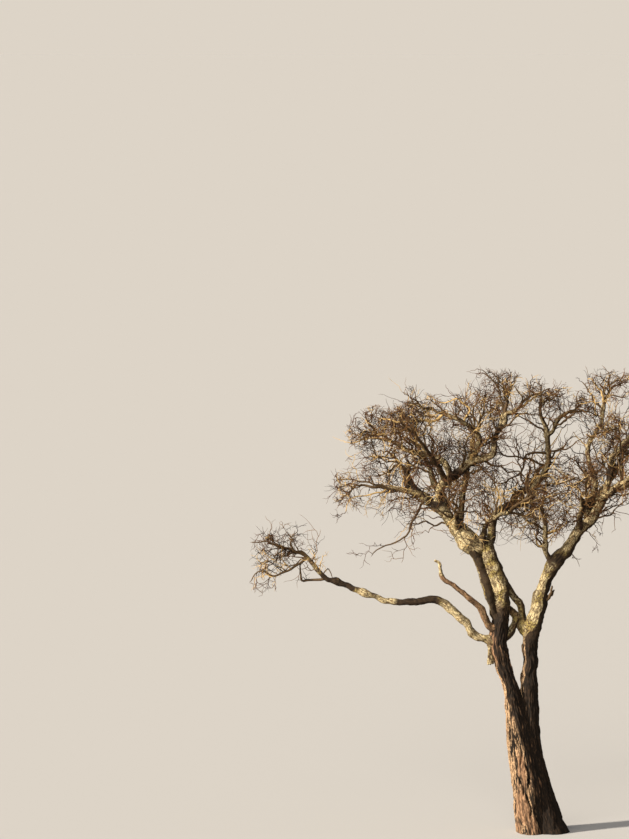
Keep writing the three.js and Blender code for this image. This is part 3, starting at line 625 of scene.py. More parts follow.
class Skeleton:
    """The centre lines of the trunk's stems and of each limb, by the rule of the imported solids."""

    def __init__(self) -> None:
        self.axes: dict[str, Axis] = {}
        self.grows_on: dict[str, str] = {}  # a limb and the one whose tip it grows on from
        for name, stations in TRUNK_STEMS.items():
            table = np.array(stations, float)
            self.axes[name] = Axis(table[:, :3], table[:, 3])
        for order, (name, limb) in enumerate(LIMBS.items()):
            self.axes[name] = self.limb_axis(name, limb, int(mix(TREE_SEED, order)))

    @staticmethod
    def nearest_on(axis: Axis, point: Array) -> tuple[Array, Array, float, bool]:
        """The nearest place on an axis, the axis's way there, its distance, and whether it is the tip."""
        starts, ways = axis.points[:-1], np.diff(axis.points, axis=0)
        share = np.clip(np.sum((point - starts) * ways, axis=1) / np.sum(ways * ways, axis=1), 0, 1)
        places = starts + share[:, None] * ways
        distances = np.linalg.norm(places - point, axis=1)
        i = int(np.argmin(distances))
        return places[i], unit(ways[i]), float(distances[i]), i == len(ways) - 1 and share[i] > 0.999

    def limb_axis(self, name: str, limb: Limb, seed: int) -> Axis:
        """A limb's axis, from inside its parent through its bends, with seeded crooks."""
        bends = np.array(limb.bends, float)
        place, along, distance, tip = self.nearest_on(self.axes[limb.parent], bends[0])
        if tip:
            self.grows_on[name] = limb.parent
        foot = place - along * (LEADER_SUNK if tip else FORK_SLIDE * distance)
        knots = np.vstack([foot, bends])
        spans = np.linalg.norm(np.diff(knots, axis=0), axis=1)
        places = [0.0]
        for i, span in enumerate(spans):
            steps = max(1, int(span / LIMB_STEP + 0.5))
            places += [i + k / steps for k in range(1, steps + 1)]
        at = np.array(places)
        crooks = draw_vector(mix(seed, np.arange(len(at))), 0) * LIMB_CROOK
        points = curve_at(knots, at) + crooks * (at % 1 > 1e-9)[:, None]
        lengths = run_lengths(points)
        girth = np.interp(lengths / lengths[-1], np.linspace(0, 1, len(limb.girth)), limb.girth)
        return Axis(points, girth / 2)

    def pieces(self) -> tuple[Array, Array, Array]:
        """Every limb as straight pieces: their starts, their ends and the larger radius of each."""
        starts, ends = (np.vstack([axis.points[part] for axis in self.axes.values()])
                        for part in (slice(-1), slice(1, None)))
        radii = [np.maximum(axis.radii[:-1], axis.radii[1:]) for axis in self.axes.values()]
        return starts, ends, np.concatenate(radii)

    def runs(self) -> list[list[str]]:
        """The limbs in unbroken runs: each limb is followed by the first that grows on from its tip."""
        following = {}
        for name, parent in self.grows_on.items():
            following.setdefault(parent, name)
        found = []
        for name in self.axes:
            if name in following.values():
                continue
            run = [name]
            while run[-1] in following:
                run.append(following[run[-1]])
            found.append(run)
        return found


def carried_frames(points: Array, first_u: Array | None = None,
                   upright: float = 0.0) -> tuple[Array, Array, Array]:
    """Directions along and square to a path, carried along it without twist.

    Args:
        points: the path, (n, 3).
        first_u: the sideways direction to start from.
        upright: the height below which the rings turn level, or 0.

    Returns:
        Along, u and v at each point, each (n, 3).
    """
    first, last = points[1:2] - points[:1], points[-1:] - points[-2:-1]
    along = unit(np.vstack([first, points[2:] - points[:-2], last]))
    if upright:
        lean = smooth_step(0, upright, points[:, 2])[:, None]
        along = unit(along * lean + np.array([0, 0, 1.0]) * (1 - lean))
    u = np.empty_like(points)
    side = sideways(along[0])[0] if first_u is None else first_u
    for i, way in enumerate(along):
        side = unit(side - way * np.dot(side, way))
        u[i] = side
    return along, u, np.cross(along, u)


def placed(name: str, data: ID) -> Object:
    """A new object in the scene, at the origin."""
    made = bpy.data.objects.new(name, data)
    bpy.context.scene.collection.objects.link(made)
    return made


@dataclass
class Shell:
    """Vertices in millimetres with the quads and triangles between them, and values at each vertex."""

    vertices: Array
    quads: Array
    triangles: Array
    values: dict[str, Array] = field(default_factory=dict)
    quad_tones: Array | None = None
    triangle_tones: Array | None = None

    @staticmethod
    def joined(shells: list["Shell"]) -> "Shell":
        """Several shells as one, in their order."""
        offsets = np.cumsum([0] + [len(shell.vertices) for shell in shells[:-1]])
        toned = shells[0].quad_tones is not None
        return Shell(
            np.vstack([shell.vertices for shell in shells]),
            np.vstack([shell.quads + offset for shell, offset in zip(shells, offsets)]),
            np.vstack([shell.triangles + offset for shell, offset in zip(shells, offsets)]),
            {key: np.concatenate([shell.values[key] for shell in shells]) for key in shells[0].values},
            np.concatenate([shell.quad_tones for shell in shells]) if toned else None,
            np.concatenate([shell.triangle_tones for shell in shells]) if toned else None,
        )

    def triangle_count(self) -> int:
        """How many triangles the shell makes."""
        return 2 * len(self.quads) + len(self.triangles)

    def piece(self, name: str, materials: list[Material]) -> Object:
        """The shell as a smooth object in metres: its values are attributes, its tones its materials."""
        mesh = bpy.data.meshes.new(name)
        mesh.vertices.add(len(self.vertices))
        mesh.vertices.foreach_set("co", (self.vertices * METRES).astype(np.float32).ravel())
        corners = np.concatenate([self.quads.ravel(), self.triangles.ravel()]).astype(np.int32)
        sizes = np.repeat([4, 3], [len(self.quads), len(self.triangles)]).astype(np.int32)
        mesh.loops.add(len(corners))
        mesh.loops.foreach_set("vertex_index", corners)
        mesh.polygons.add(len(sizes))
        mesh.polygons.foreach_set("loop_start", (np.cumsum(sizes) - sizes).astype(np.int32))
        mesh.polygons.foreach_set("loop_total", sizes)
        mesh.polygons.foreach_set("use_smooth", np.ones(len(sizes), bool))
        for material in materials:
            mesh.materials.append(material)
        if self.quad_tones is not None:
            tones = np.concatenate([self.quad_tones, self.triangle_tones]).astype(np.int32)
            mesh.polygons.foreach_set("material_index", tones)
        for key, value in self.values.items():
            kind, item = ("FLOAT_VECTOR", "vector") if value.ndim == 2 else ("FLOAT", "value")
            attribute = mesh.attributes.new(key, kind, "POINT")
            attribute.data.foreach_set(item, value.astype(np.float32).ravel())
        mesh.update(calc_edges=True)
        piece = placed(name, mesh)
        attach(piece, BODY)
        return piece


def ring_faces(rows: int, columns: int) -> tuple[Array, Array, Array]:
    """The numbers of a tube's points ring by ring, those of the points beside them, and its quads."""
    here = np.arange(rows * columns).reshape(rows, columns)
    beside = np.roll(here, -1, axis=1)
    return here, beside, np.stack([here[:-1], beside[:-1], beside[1:], here[1:]], axis=-1).reshape(-1, 4)


def grid_shell(grid: Array, foot: Array, tip: Array, values: dict[str, Array]) -> Shell:
    """A closed tube from rings of points.

    Args:
        grid: points, (rows, columns, 3), counter-clockwise as seen from the tip.
        foot: the point that closes the first ring.
        tip: the point that closes the last ring.
        values: one array (rows, columns) or (rows, columns, 3) for each attribute.

    Returns:
        The shell, with its faces outwards and both poles closed.
    """
    rows, columns = grid.shape[:2]
    here, beside, quads = ring_faces(rows, columns)
    count = rows * columns
    foot_fan = np.stack([beside[0], here[0], np.full(columns, count)], axis=-1)
    tip_fan = np.stack([here[-1], beside[-1], np.full(columns, count + 1)], axis=-1)
    kept = {key: np.concatenate([value.reshape(count, *value.shape[2:]), value[0, :1], value[-1, :1]])
            for key, value in values.items()}
    return Shell(np.vstack([grid.reshape(-1, 3), foot, tip]), quads, np.vstack([foot_fan, tip_fan]), kept)


# Swellings of the bark: right, back and up of each middle, its half width and how far it stands.
KNOBS = (
    (-1100, -60, 4050, 95, 46), (-1010, 40, 4000, 80, 26), (-128, 0, 3360, 62, 26),
    (640, 100, 4640, 110, 34), (-552, -230, 5815, 70, 22), (-2492, -110, 3390, 62, 20),
    (-2900, -110, 3590, 55, 14), (-1000, -80, 2850, 60, 20), (-1030, -40, 3000, 50, 16),
    (-640, -70, 2980, 90, 26), (-700, -20, 3560, 120, 32), (-60, -30, 2900, 80, 22),
    (170, -60, 3760, 110, 26), (330, -60, 3980, 80, 18), (-1205, -60, 4330, 90, 22),
    (-1430, -60, 4600, 90, 26), (-1880, -40, 4960, 70, 20), (-600, 40, 4560, 70, 18),
    (960, -100, 5190, 60, 14), (1060, -90, 5410, 60, 14), (-560, -110, 2620, 60, 16),
    (34, -40, 4060, 60, 16), (28, -90, 4200, 50, 12), (-1020, -120, 4190, 120, 60),
    (-540, -95, 3280, 85, 50), (-556, -95, 3440, 85, 60), (-600, -90, 3600, 85, 60),
    (-650, -88, 3760, 85, 60), (-716, -85, 3910, 85, 50),
)

# Hollows down the trunk, and ribs where the depth is below 0: bearing in degrees, lowest and highest
# point, half width and depth.
SLOTS = {
    "trunk_left": ((246, 540, 800, 15, 42), (280, 700, 1010, 17, 46), (269, 240, 590, 15, 40),
        (292, 60, 420, 18, 34), (222, 620, 900, 12, 24), (256, 0, 260, 16, 26),
        (262, 980, 1380, 14, 26), (236, 1060, 1330, 11, 20), (200, 250, 640, 14, 22),
        (130, 150, 900, 22, 30), (232, -60, 180, 18, 24), (268, 600, 760, 10, -16),
        (288, 420, 900, 13, -18), (214, 860, 1500, 12, -14)),
    "trunk_right": ((252, 300, 900, 20, 34), (320, 100, 760, 20, 28), (20, 60, 620, 22, 28),
        (96, 200, 900, 22, 30)),
}
SLOT_SWAY = (5.0, 61.0)  # degrees, and millimetres up to a radian of the sway
SLOT_ENDS = (-40, 60)  # from past a slot's end to inside it, over which its depth sets in

# Bare weathered wood on the left stem's lit side: bearing, height, half breadth in degrees, half height.
BARE_WOOD = ((240, 380, 36, 380), (258, 900, 22, 300), (206, 130, 26, 200), (272, 120, 20, 200),
             (212, 2600, 36, 340))
BARKLESS_LIMB = "dead_spur"  # its bark has fallen from most of it

# Painted shade on the old bark's shaded side: at each height, the bearing in degrees where the painted
# shade begins.
PAINTED_SHADE_BEARINGS = {
    "trunk_left": ((0, 284), (620, 284), (1060, 278), (1480, 268), (1820, 248), (2140, 220), (2460, 208),
                   (2740, 200)),
    "trunk_right": ((0, 222), (2760, 222), (2880, 280), (3600, 286)),
}
PAINTED_SHADE_RAGGED = 22  # degrees
PAINTED_SHADE_LIMITS = ((-5, 9), (160, 140))  # degrees past that bearing, where it sets in and where it ends
PAINTED_SHADE_ENDS = {"trunk_right": (3760, 3600)}  # heights over which it ends, where it goes on up young bark

# Places of each run of limbs, named by the first of them, that are pale, partly from bleaching and partly
# as painted light: right, back and up, and their reach.
BLEACHED_AND_PAINTED_LIGHT = {
    "low_bough": ((-900, -50, 2790, 150), (-1040, -60, 2950, 150), (-1180, -70, 3080, 150),
        (-1340, -78, 3200, 140), (-2180, -98, 3300, 170), (-2490, -140, 3400, 110)),
    "dead_spur": ((-1480, -152, 3850, 90), (-1440, -150, 3720, 90)),
    "winding_bough": ((650, 220, 5540, 130), (672, 180, 5208, 150), (636, 205, 5380, 140),
        (780, 235, 5680, 130), (850, 250, 5900, 150)),
    "inner_upright": ((30, -60, 4090, 170), (24, -110, 4260, 150)),
    "trunk_left": ((-1110, -110, 4130, 190), (-960, -110, 4080, 140), (-640, -90, 3520, 130),
        (-1400, -80, 4560, 130), (-1230, -90, 4340, 120)),
    "trunk_right": ((-60, -60, 3120, 150), (60, -60, 3500, 150), (345, -60, 4080, 120),
        (440, -70, 4190, 110), (530, -80, 4290, 130), (620, -90, 4410, 140), (720, -100, 4530, 110),
        (800, -110, 4640, 120), (865, -120, 4750, 110)),
    "left_riser": ((-1090, -190, 5190, 120), (-960, -215, 5275, 120), (-800, -225, 5350, 120),
        (-690, -225, 5410, 100), (-585, -215, 5800, 110)),
}

# Painted shadows, cast by the crown and the boughs, in the same way.
PAINTED_SHADOWS = {
    "trunk_left": ((-610, -5, 2990, 260), (-1860, -10, 4940, 210), (-1500, -60, 4690, 150)),
    "trunk_right": ((215, 10, 3870, 170), (-40, 24, 3340, 80), (960, -90, 5100, 150)),
    "low_bough": ((-1600, -90, 3290, 190), (-1850, -95, 3270, 200), (-2760, -90, 3520, 170),
        (-3000, -86, 3620, 150)),
    "winding_bough": ((640, 90, 4650, 150), (690, 200, 5080, 140)),
    "left_riser": ((-620, -210, 5640, 150), (-1250, -150, 5060, 160)),
    "middle_bough": ((-430, 60, 4600, 200),),
}

# Painted shade on each limb's side away from the light: the way that side faces, and how far round the
# painted shade reaches: 1 nowhere, -1 everywhere.
SHADY_SIDE = ((0.8, -0.05, -0.55), 0.22)
SHADIER = {"front_limb": ((0.78, -0.6, -0.2), -0.32), "dead_spur": ((0.6, -0.1, -0.8), 0.12)}
LIT_SIDE = (-0.75, -0.4, 0.55)  # the way that the lit side faces, to which lichen, bleaching and painted light keep; there lichen is partly painted light

PAINTED_LIGHT_FROM = (4100, 4700)  # heights over which painted light sets in on the lit side of the boughs
PATCH_SIZES = (95.0, 36.0)  # of the blotches that make the edges of every tone ragged
SMALL_BLOTCHES = 0.5  # weight of the small ones against the large
PATCH_EDGE = (1.2, 0.65)  # of the reach of a patch of bleaching and painted light, and of a patch of painted shadow, over which it sets in
PATCH_RAGGED = 0.4


@dataclass(frozen=True)
class Side:
    """A tone that keeps to one side of the limbs, as painted light and painted shade do.

    Slopes are how far a place faces the tone's way, from -1 to 1. The limits are those over which it sets
    in, and ragged is how far the blotches shift them.
    """

    strength: float
    limits: Pair
    ragged: float

    def on(self, slope: Array, patches: Array) -> Array:
        """How much of the tone each place has."""
        return self.strength * smooth_step(*self.limits, slope + self.ragged * patches)


# Painted light on the lit side of the high boughs.
PAINTED_SUNLIGHT = Side(0.8, (0.1, 0.7), 0.3)
# Bleaching and painted light keep to the lit side.
PAINTED_LIGHT_SIDE = Side(1.0, (-0.4, 0.05), 0.25)
SHADE_STRENGTH, SHADE_BREADTH, SHADE_RAGGED = 0.9, 0.32, 0.25  # of the painted shade on each limb's side away from the light
# Lichen weighted to the lit side is partly painted light.
LICHEN_WEIGHTS = (0.6, 1.2, 0.6)  # of the lit side, of the blotches and of thick limbs
LICHEN_LIMITS = (-0.1, 0.6)
THICK_FROM = (38, 90)  # radii over which a limb counts as thick
PAINTED_SHADE_HIDES = {"lichen": 0.75, "bleached": 0.8, "wood": 0.85}  # the share of a tone lost under the painted shade
FALLEN_SHARE = 0.9  # of the bark that has fallen from the barkless limb
FALLEN_LIMITS = (-0.6, -0.1)  # of the blotches, over which it has gone

# The bark's noises along a straightened limb: what is added to its seed, and their lumps' size across,
# across and along it.
NOISES = {
    "wood_edge": (6, (24, 24, 230)), "grain": (7, (9, 9, 120)), "pitting": (8, (7, 7, 18)),
    "ribs": (12, (62, 62, 780)), "crags": (14, (34, 34, 58)), "shade_edge": (15, (30, 30, 260)),
    "stub_lumps": (78, (45, 45, 45)), "splinters": (79, (12, 12, 60)),
}


def bark_noise(kind: str, limb_place: Array, seed: int) -> Array:
    """One of the bark's noises at places along a straightened limb."""
    number, size = NOISES[kind]
    return lattice_noise(limb_place / np.array(size), seed + number)


def turn_from(bearing: Array, middle: Array | float) -> Array:
    """How far a bearing lies from another, from -180 to 180 degrees."""
    return (bearing - middle + 180) % 360 - 180


def bell(value: Array) -> Array:
    """exp(-x^2): 1 in the middle, and all but gone at 2."""
    return np.exp(-(value ** 2))


def patched(patches: dict[str, tuple], run: list[str], points: Array, ragged: Array) -> Array:
    """1 inside a run's patches and 0 outside, with ragged edges."""
    total = np.zeros(points.shape[:-1])
    for *middle, reach in patches.get(run[0], ()):
        near = np.linalg.norm(points - np.array(middle), axis=-1) / reach
        total = np.maximum(total, smooth_step(*PATCH_EDGE, near + PATCH_RAGGED * ragged))
    return total


@dataclass
class Tube:
    """A round tube about a path, to be given its relief and its tones: a row to each ring."""

    path: Axis
    outward: Array
    radius: Array
    bearing: Array  # degrees
    limb_place: Array  # across, across and along, as if the limb were straight
    grid: Array
    height: Array  # before any relief

    @staticmethod
    def about(path: Axis, columns: int, first_u: Array | None = None, upright: float = 0.0) -> "Tube":
        """The tube about a path; the last two arguments are those of carried_frames."""
        _, u, v = carried_frames(path.points, first_u, upright)
        angle = np.linspace(0, 2 * np.pi, columns, endpoint=False)
        outward = around(u[:, None], v[:, None], angle)
        radius = np.repeat(path.radii[:, None], columns, axis=1)
        along = np.repeat(run_lengths(path.points)[:, None], columns, axis=1)
        limb_place = np.stack([radius * np.cos(angle), radius * np.sin(angle), along], axis=-1)
        bearing = np.broadcast_to(np.degrees(angle), radius.shape)
        grid = path.points[:, None] + outward * radius[..., None]
        return Tube(path, outward, radius, bearing, limb_place, grid, grid[..., 2])

    def move_out(self, push: Array) -> None:
        """Moves each point of the grid out by so much."""
        self.grid = self.grid + self.outward * push[..., None]


@dataclass
class BarkSkin:
    """The trunk's and limbs' bark: unbroken runs of grid tubes with their relief worked into the mesh."""

    skeleton: Skeleton
    column_width: float = 9.5  # widest step between two columns
    row_step: float = 12.0
    most_columns: int = 132
    least_columns: int = 22
    smooth_rows: int = 5  # to each side, over which a run's girth is evened out
    tip_rows: int = 5  # that close a run's tip
    tip_length: float = 0.55  # in radii
    tip_relief: Pair = (0.9, 0.2)  # how much of the relief is left on those rows, from first to last
    fillet_share: float = 0.85  # of the thinner limb's radius, over which two limbs blend at a fork
    fillet_most: float = 62.0
    fillet_step: float = 60.0  # of the other limb's axis
    gnarl: float = 0.11  # how far a limb swells and dips against its radius
    gnarl_length: float = 2.6  # in radii
    gnarl_radius: float = 30.0  # the least that its length goes by
    old_gnarl: float = 0.5  # how much weaker on old bark
    small_gnarls: Pair = (0.5, 2.3)  # swing and number against the large ones'
    furrow_width: float = 0.3  # in radii, within the next limits, and so much more on old bark
    furrow_widths: Pair = (13, 26)
    old_width: float = 4.0
    furrow_warp: Pair = (0.5, 0.6)  # swing, and number against the furrows'
    furrow_bands: tuple[Pair, Pair] = ((0.02, 0.26), (0.02, 0.3))  # of the coarse noise and the fine one
    fine_furrows: Pair = (0.45, 1.9)  # depth and number against the coarse ones'
    furrow_stretch: Pair = (5.0, 7.0)  # length against width on young bark, more on old
    furrow_depth: float = 0.09  # in radii, within the next limits, and so much more on old bark
    young_depths: Pair = (1.6, 7)
    old_depth: float = 6.0
    young_furrow: float = 0.35  # a furrow's depth on young bark against old
    wood_furrow: float = 0.3  # how much shallower on bare wood
    hollow_limits: Pair = (8, 34)  # depths over which a hollow counts as a furrow, and takes its painted shade
    crack_limits: tuple[Pair, Pair] = ((0.06, 0.26), (0.5, 0.42))  # each on young bark, and more on old
    wood_depth: float = 6.0  # how far below the bark bare wood lies
    flute: float = 17.0  # how far the old trunk's long ribs stand
    grain_depths: Pair = (2.0, 3.0)  # on old bark, and more on bare wood
    pit_depth: float = 0.16  # against the furrows'
    crag_depth: float = 0.16  # in radii, within the next limits
    crag_depths: Pair = (2, 11)
    crag_level: float = 0.3  # of the noise, where a crag leaves the surface as it is
    stub_columns: int = 30
    stub_rows: int = 34
    seed: int = 7

    def joined_axis(self, run: list[str]) -> Axis:
        """A run's axis: each limb's points after those of the one before, with its girth evened out."""
        lines = [self.skeleton.axes[name] for name in run]
        points = np.vstack([lines[0].points] + [line.points[1:] for line in lines[1:]])
        radii = np.concatenate([lines[0].radii] + [line.radii[1:] for line in lines[1:]])
        fine = Axis(points, radii).finer(self.row_step)
        window = 2 * self.smooth_rows + 1
        padded = np.pad(fine.radii, self.smooth_rows, mode="edge")
        fine.radii = np.convolve(padded, np.full(window, 1 / window), "valid")
        return fine

    def rounded_tip(self, axis: Axis) -> Axis:
        """The axis with rings past its tip that close it like a worn end, by a quarter ellipse."""
        steps = np.sin(np.linspace(0, np.pi / 2, self.tip_rows + 2)[1:-1])
        way = unit(axis.points[-1] - axis.points[-2])
        points = axis.points[-1] + np.outer(steps * axis.radii[-1] * self.tip_length, way)
        radii = axis.radii[-1] * np.sqrt(1 - steps ** 2)
        return Axis(np.vstack([axis.points, points]), np.concatenate([axis.radii, radii]))

    def tube_of(self, run: list[str], on_ground: bool) -> Tube:
        """A run's tube, with as many columns as its girth needs."""
        path = self.rounded_tip(self.joined_axis(run))
        widest = 2 * np.pi * np.percentile(path.radii, 90)
        columns = int(np.clip(widest / self.column_width, self.least_columns, self.most_columns))
        if on_ground:
            return Tube.about(path, columns, np.array([1.0, 0, 0]), LEVEL_BELOW)
        return Tube.about(path, columns)

    def flare(self, stem: str, tube: Tube) -> Array:
        """How far the root flare stands out: each lobe is a bell in bearing that dies away with height."""
        total = np.zeros_like(tube.radius)
        height = np.maximum(tube.height, 0)
        for middle, reach, breadth in FLARE_LOBES[stem]:
            off = turn_from(tube.bearing, middle)
            total += reach * np.exp(-((off / breadth) ** 2) - height / FLARE_HEIGHT)
        return total

    def slots(self, stem: str, tube: Tube) -> Array:
        """How far the trunk's hollows and ribs move it out: a bell across, level along, with soft ends."""
        total = np.zeros_like(tube.radius)
        sway, length = SLOT_SWAY
        past, inside = SLOT_ENDS
        for bearing, low, high, width, depth in SLOTS.get(stem, ()):
            bend = sway * np.sin(tube.height / length + bearing)
            off = np.radians(turn_from(tube.bearing + bend, bearing)) * tube.radius
            ends = smooth_step(low + past, low + inside, tube.height)
            ends = ends * smooth_step(high - past, high - inside, tube.height)
            total -= depth * bell(off / width) * ends
        return total

    @staticmethod
    def painted_shade_side(stem: str, tube: Tube, seed: int) -> Array:
        """1 on the stem's side of painted shade: past a bearing that shifts with height, with a ragged
        edge.
        """
        levels, starts = np.array(PAINTED_SHADE_BEARINGS[stem], float).T
        ragged = bark_noise("shade_edge", tube.limb_place, seed)
        past = turn_from(tube.bearing + PAINTED_SHADE_RAGGED * ragged, np.interp(tube.height, levels, starts))
        return smooth_step(*PAINTED_SHADE_LIMITS[0], past) * smooth_step(*PAINTED_SHADE_LIMITS[1], past)

    def fillet(self, run: list[str], points: Array, radius: Array) -> Array:
        """How far a surface moves out where it comes near another limb, so that the two blend.

        With d the depth below the other's surface and k the blend's reach, it is k/4 (1 - |d|/k)^2, the
        first term of a smooth union.
        """
        out = np.zeros(points.shape[:-1])
        for name, axis in self.skeleton.axes.items():
            if name in run:
                continue
            reach = np.max(axis.radii) + self.fillet_most
            low, high = axis.points.min(axis=0) - reach, axis.points.max(axis=0) + reach
            near = np.all((points > low) & (points < high), axis=-1)
            if not near.any():
                continue
            fine = axis.finer(self.fillet_step)
            place, own = points[near], radius[near]
            best, other = np.full(len(place), 1e9), np.zeros(len(place))
            for a, b, ra, rb in zip(fine.points[:-1], fine.points[1:], fine.radii[:-1], fine.radii[1:]):
                way = b - a
                share = np.clip((place - a) @ way / (way @ way), 0, 1)
                thick = ra + (rb - ra) * share
                gap = np.linalg.norm(place - a - share[:, None] * way, axis=1) - thick
                nearer = gap < best
                best, other = np.where(nearer, gap, best), np.where(nearer, thick, other)
            k = np.minimum(self.fillet_share * np.minimum(own, other), self.fillet_most)
            push = k / 4 * np.clip(1 - np.abs(best) / k, 0, 1) ** 2
            out[near] = np.maximum(out[near], push)
        return out

    def furrows(self, limb_place: Array, width: Array, stretch: float | Array, seed: int) -> Array:
        """1 at the bottom of a furrow and 0 on a ridge: bands round the zero lines of warped noise."""
        cells = limb_place / np.stack([width, width, width * stretch], axis=-1)
        swing, number = self.furrow_warp
        warp = np.stack([lattice_noise(cells * number, seed + 11 + k) for k in range(2)], axis=-1)
        cells = cells + np.concatenate([swing * warp, np.zeros_like(warp[..., :1])], axis=-1)
        depth, number = self.fine_furrows
        coarse, fine = (1 - smooth_step(*band, np.abs(noise)) for band, noise in zip(
            self.furrow_bands, (lattice_noise(cells, seed), lattice_noise(cells * number, seed + 5))))
        return np.clip(coarse + depth * fine, 0, 1)

    def swellings(self, run: list[str], tube: Tube, old: Array, seed: int) -> Array:
        """How far the limb's large forms move its surface out: gnarls, blends, ribs and knobs."""
        length = self.gnarl_length * np.maximum(tube.radius, self.gnarl_radius)
        cells = tube.limb_place / length[..., None]
        swing, number = self.small_gnarls
        lumps = lattice_noise(cells, seed + 1) + swing * lattice_noise(cells * number, seed + 2)
        push = self.gnarl * tube.radius * lumps * (1 - self.old_gnarl * old)
        push = push + self.fillet(run, tube.grid, tube.radius)
        push = push + self.flute * old * bark_noise("ribs", tube.limb_place, seed)
        for *middle, width, height in KNOBS:
            push = push + height * bell(np.linalg.norm(tube.grid - np.array(middle), axis=-1) / width)
        return push

    @staticmethod
    def bare_wood(tube: Tube, old: Array, seed: int) -> Array:
        """1 where the left stem's bark has gone: inside ovals of bearing and height, with ragged edges."""
        wood = np.zeros_like(old)
        for middle, level, breadth, tall in BARE_WOOD:
            across = turn_from(tube.bearing, middle) / breadth
            wood = np.maximum(wood, 1.2 - np.sqrt(across ** 2 + ((tube.height - level) / tall) ** 2))
        ragged = bark_noise("wood_edge", tube.limb_place, seed)
        return smooth_step(0.2, 0.6, wood + 0.9 * ragged) * old

    def texture(self, tube: Tube, furrow: Array, wood: Array, old: Array, seed: int) -> Array:
        """How far the fine relief moves the surface out: furrows, bare wood, grain, pits and crags."""
        place, radius = tube.limb_place, tube.radius
        depth = np.clip(self.furrow_depth * radius, *self.young_depths) + self.old_depth * old
        bark_grain, wood_grain = self.grain_depths
        push = (bark_grain + wood_grain * wood) * old * bark_noise("grain", place, seed) - depth * furrow
        push = push - self.wood_depth * wood + self.pit_depth * depth * bark_noise("pitting", place, seed)
        crags = self.crag_level - np.abs(bark_noise("crags", place, seed))
        return push + np.clip(self.crag_depth * radius, *self.crag_depths) * (1 - old) * crags

    def tones(self, run: list[str], tube: Tube, old: Array, wood: Array, seed: int) -> dict[str, Array]:
        """Where the bark has lichen, bleaching and painted light, painted shade, and bare wood."""
        facing = tube.outward @ unit(np.array(LIT_SIDE))
        large, small = (lattice_noise(tube.grid / size, seed + 9 + k)
                        for k, size in enumerate(PATCH_SIZES))
        patches = large + SMALL_BLOTCHES * small
        lit, blotched, thick = LICHEN_WEIGHTS
        aged = thick * smooth_step(*THICK_FROM, tube.radius)
        lichen = smooth_step(*LICHEN_LIMITS, lit * facing + blotched * patches + aged) * (1 - old)
        bleached, dark = (patched(kind, run, tube.grid, patches) for kind in (BLEACHED_AND_PAINTED_LIGHT, PAINTED_SHADOWS))
        # Painted light on the lit side of the high boughs.
        painted_light = PAINTED_SUNLIGHT.on(facing, patches) * smooth_step(*PAINTED_LIGHT_FROM, tube.height)
        # Bleaching and painted light, kept to the lit side.
        bleached = np.maximum(bleached * PAINTED_LIGHT_SIDE.on(facing, patches), painted_light)
        way, start = SHADIER.get(run[0], SHADY_SIDE)
        shade = Side(SHADE_STRENGTH, (start, start + SHADE_BREADTH), SHADE_RAGGED)
        shaded = shade.on(tube.outward @ unit(np.array(way)), patches) * (1 - old) * (1 - bleached)
        dark = np.maximum(dark, shaded)
        # Painted shade down the trunk's shaded side.
        if run[0] in TRUNK_STEMS:
            painted_shade_share = smooth_step(*PAINTED_SHADE_ENDS[run[0]], tube.height) if run[0] in PAINTED_SHADE_ENDS else old
            dark = np.maximum(dark, self.painted_shade_side(run[0], tube, seed) * painted_shade_share)
            bleached = bleached * (1 - PAINTED_SHADE_HIDES["bleached"] * dark)
        if run[0] == BARKLESS_LIMB:
            fallen = FALLEN_SHARE * smooth_step(*FALLEN_LIMITS, patches)
            wood = fallen * (1 - PAINTED_SHADE_HIDES["wood"] * dark) * (1 - bleached)
        lichen = lichen * (1 - PAINTED_SHADE_HIDES["lichen"] * dark)
        return {"wood": wood, "lichen": lichen, "bleached": bleached, "dark": dark}

    def shell_of(self, run: list[str]) -> Shell:
        """One run's bark as a closed shell, with the values its finish reads."""
        on_ground = run[0] in TRUNK_STEMS
        seed = self.seed + 31 * list(self.skeleton.axes).index(run[0])
        tube = self.tube_of(run, on_ground)
        old, hollow, wood = (np.zeros_like(tube.radius) for _ in range(3))
        if on_ground:
            old = smooth_step(*OLD_BETWEEN[run[0]], tube.height)
            grow, hollow = self.flare(run[0], tube), self.slots(run[0], tube)
            tube.move_out(grow + hollow)
            tube.radius = tube.radius + grow
        if run[0] == "trunk_left":
            wood = self.bare_wood(tube, old, seed)
        width = np.clip(tube.radius * self.furrow_width, *self.furrow_widths) + self.old_width * old
        young_stretch, old_stretch = self.furrow_stretch
        furrow = self.furrows(tube.limb_place, width, young_stretch + old_stretch * old, seed + 3)
        if on_ground:
            furrow = furrow * (1 - self.wood_furrow * wood)
            # Hollows also take the furrows' deeper tone, partly painted shade.
            furrow = np.maximum(furrow, smooth_step(*self.hollow_limits, -hollow))
        furrow = furrow * (self.young_furrow + (1 - self.young_furrow) * old)
        push = self.swellings(run, tube, old, seed) + self.texture(tube, furrow, wood, old, seed)
        hold = np.ones(len(tube.path.radii))
        hold[-self.tip_rows - 1:] = np.linspace(*self.tip_relief, self.tip_rows + 1)
        tube.move_out(push * hold[:, None])
        foot, way = tube.path.points[0], unit(tube.path.points[-1] - tube.path.points[-2])
        if on_ground:
            tube.grid[..., 2] = np.maximum(tube.grid[..., 2], 0.0)
            tube.grid[0, :, 2] = 0.0
            foot = foot * np.array([1, 1, 0])
        tip = tube.path.points[-1] + way * tube.path.radii[-self.tip_rows - 2] * 0.02
        # How far the furrows are darkened: their own bark, and partly painted shade.
        low, high = (young + more * old for young, more in self.crack_limits)
        cracks = smooth_step(low, high, furrow)
        values = {"cracks": cracks, "old": old, "limb_place": tube.limb_place * METRES}
        values |= self.tones(run, tube, old, wood, seed)
        return grid_shell(bent(tube.grid), foot, bent(tip), values)

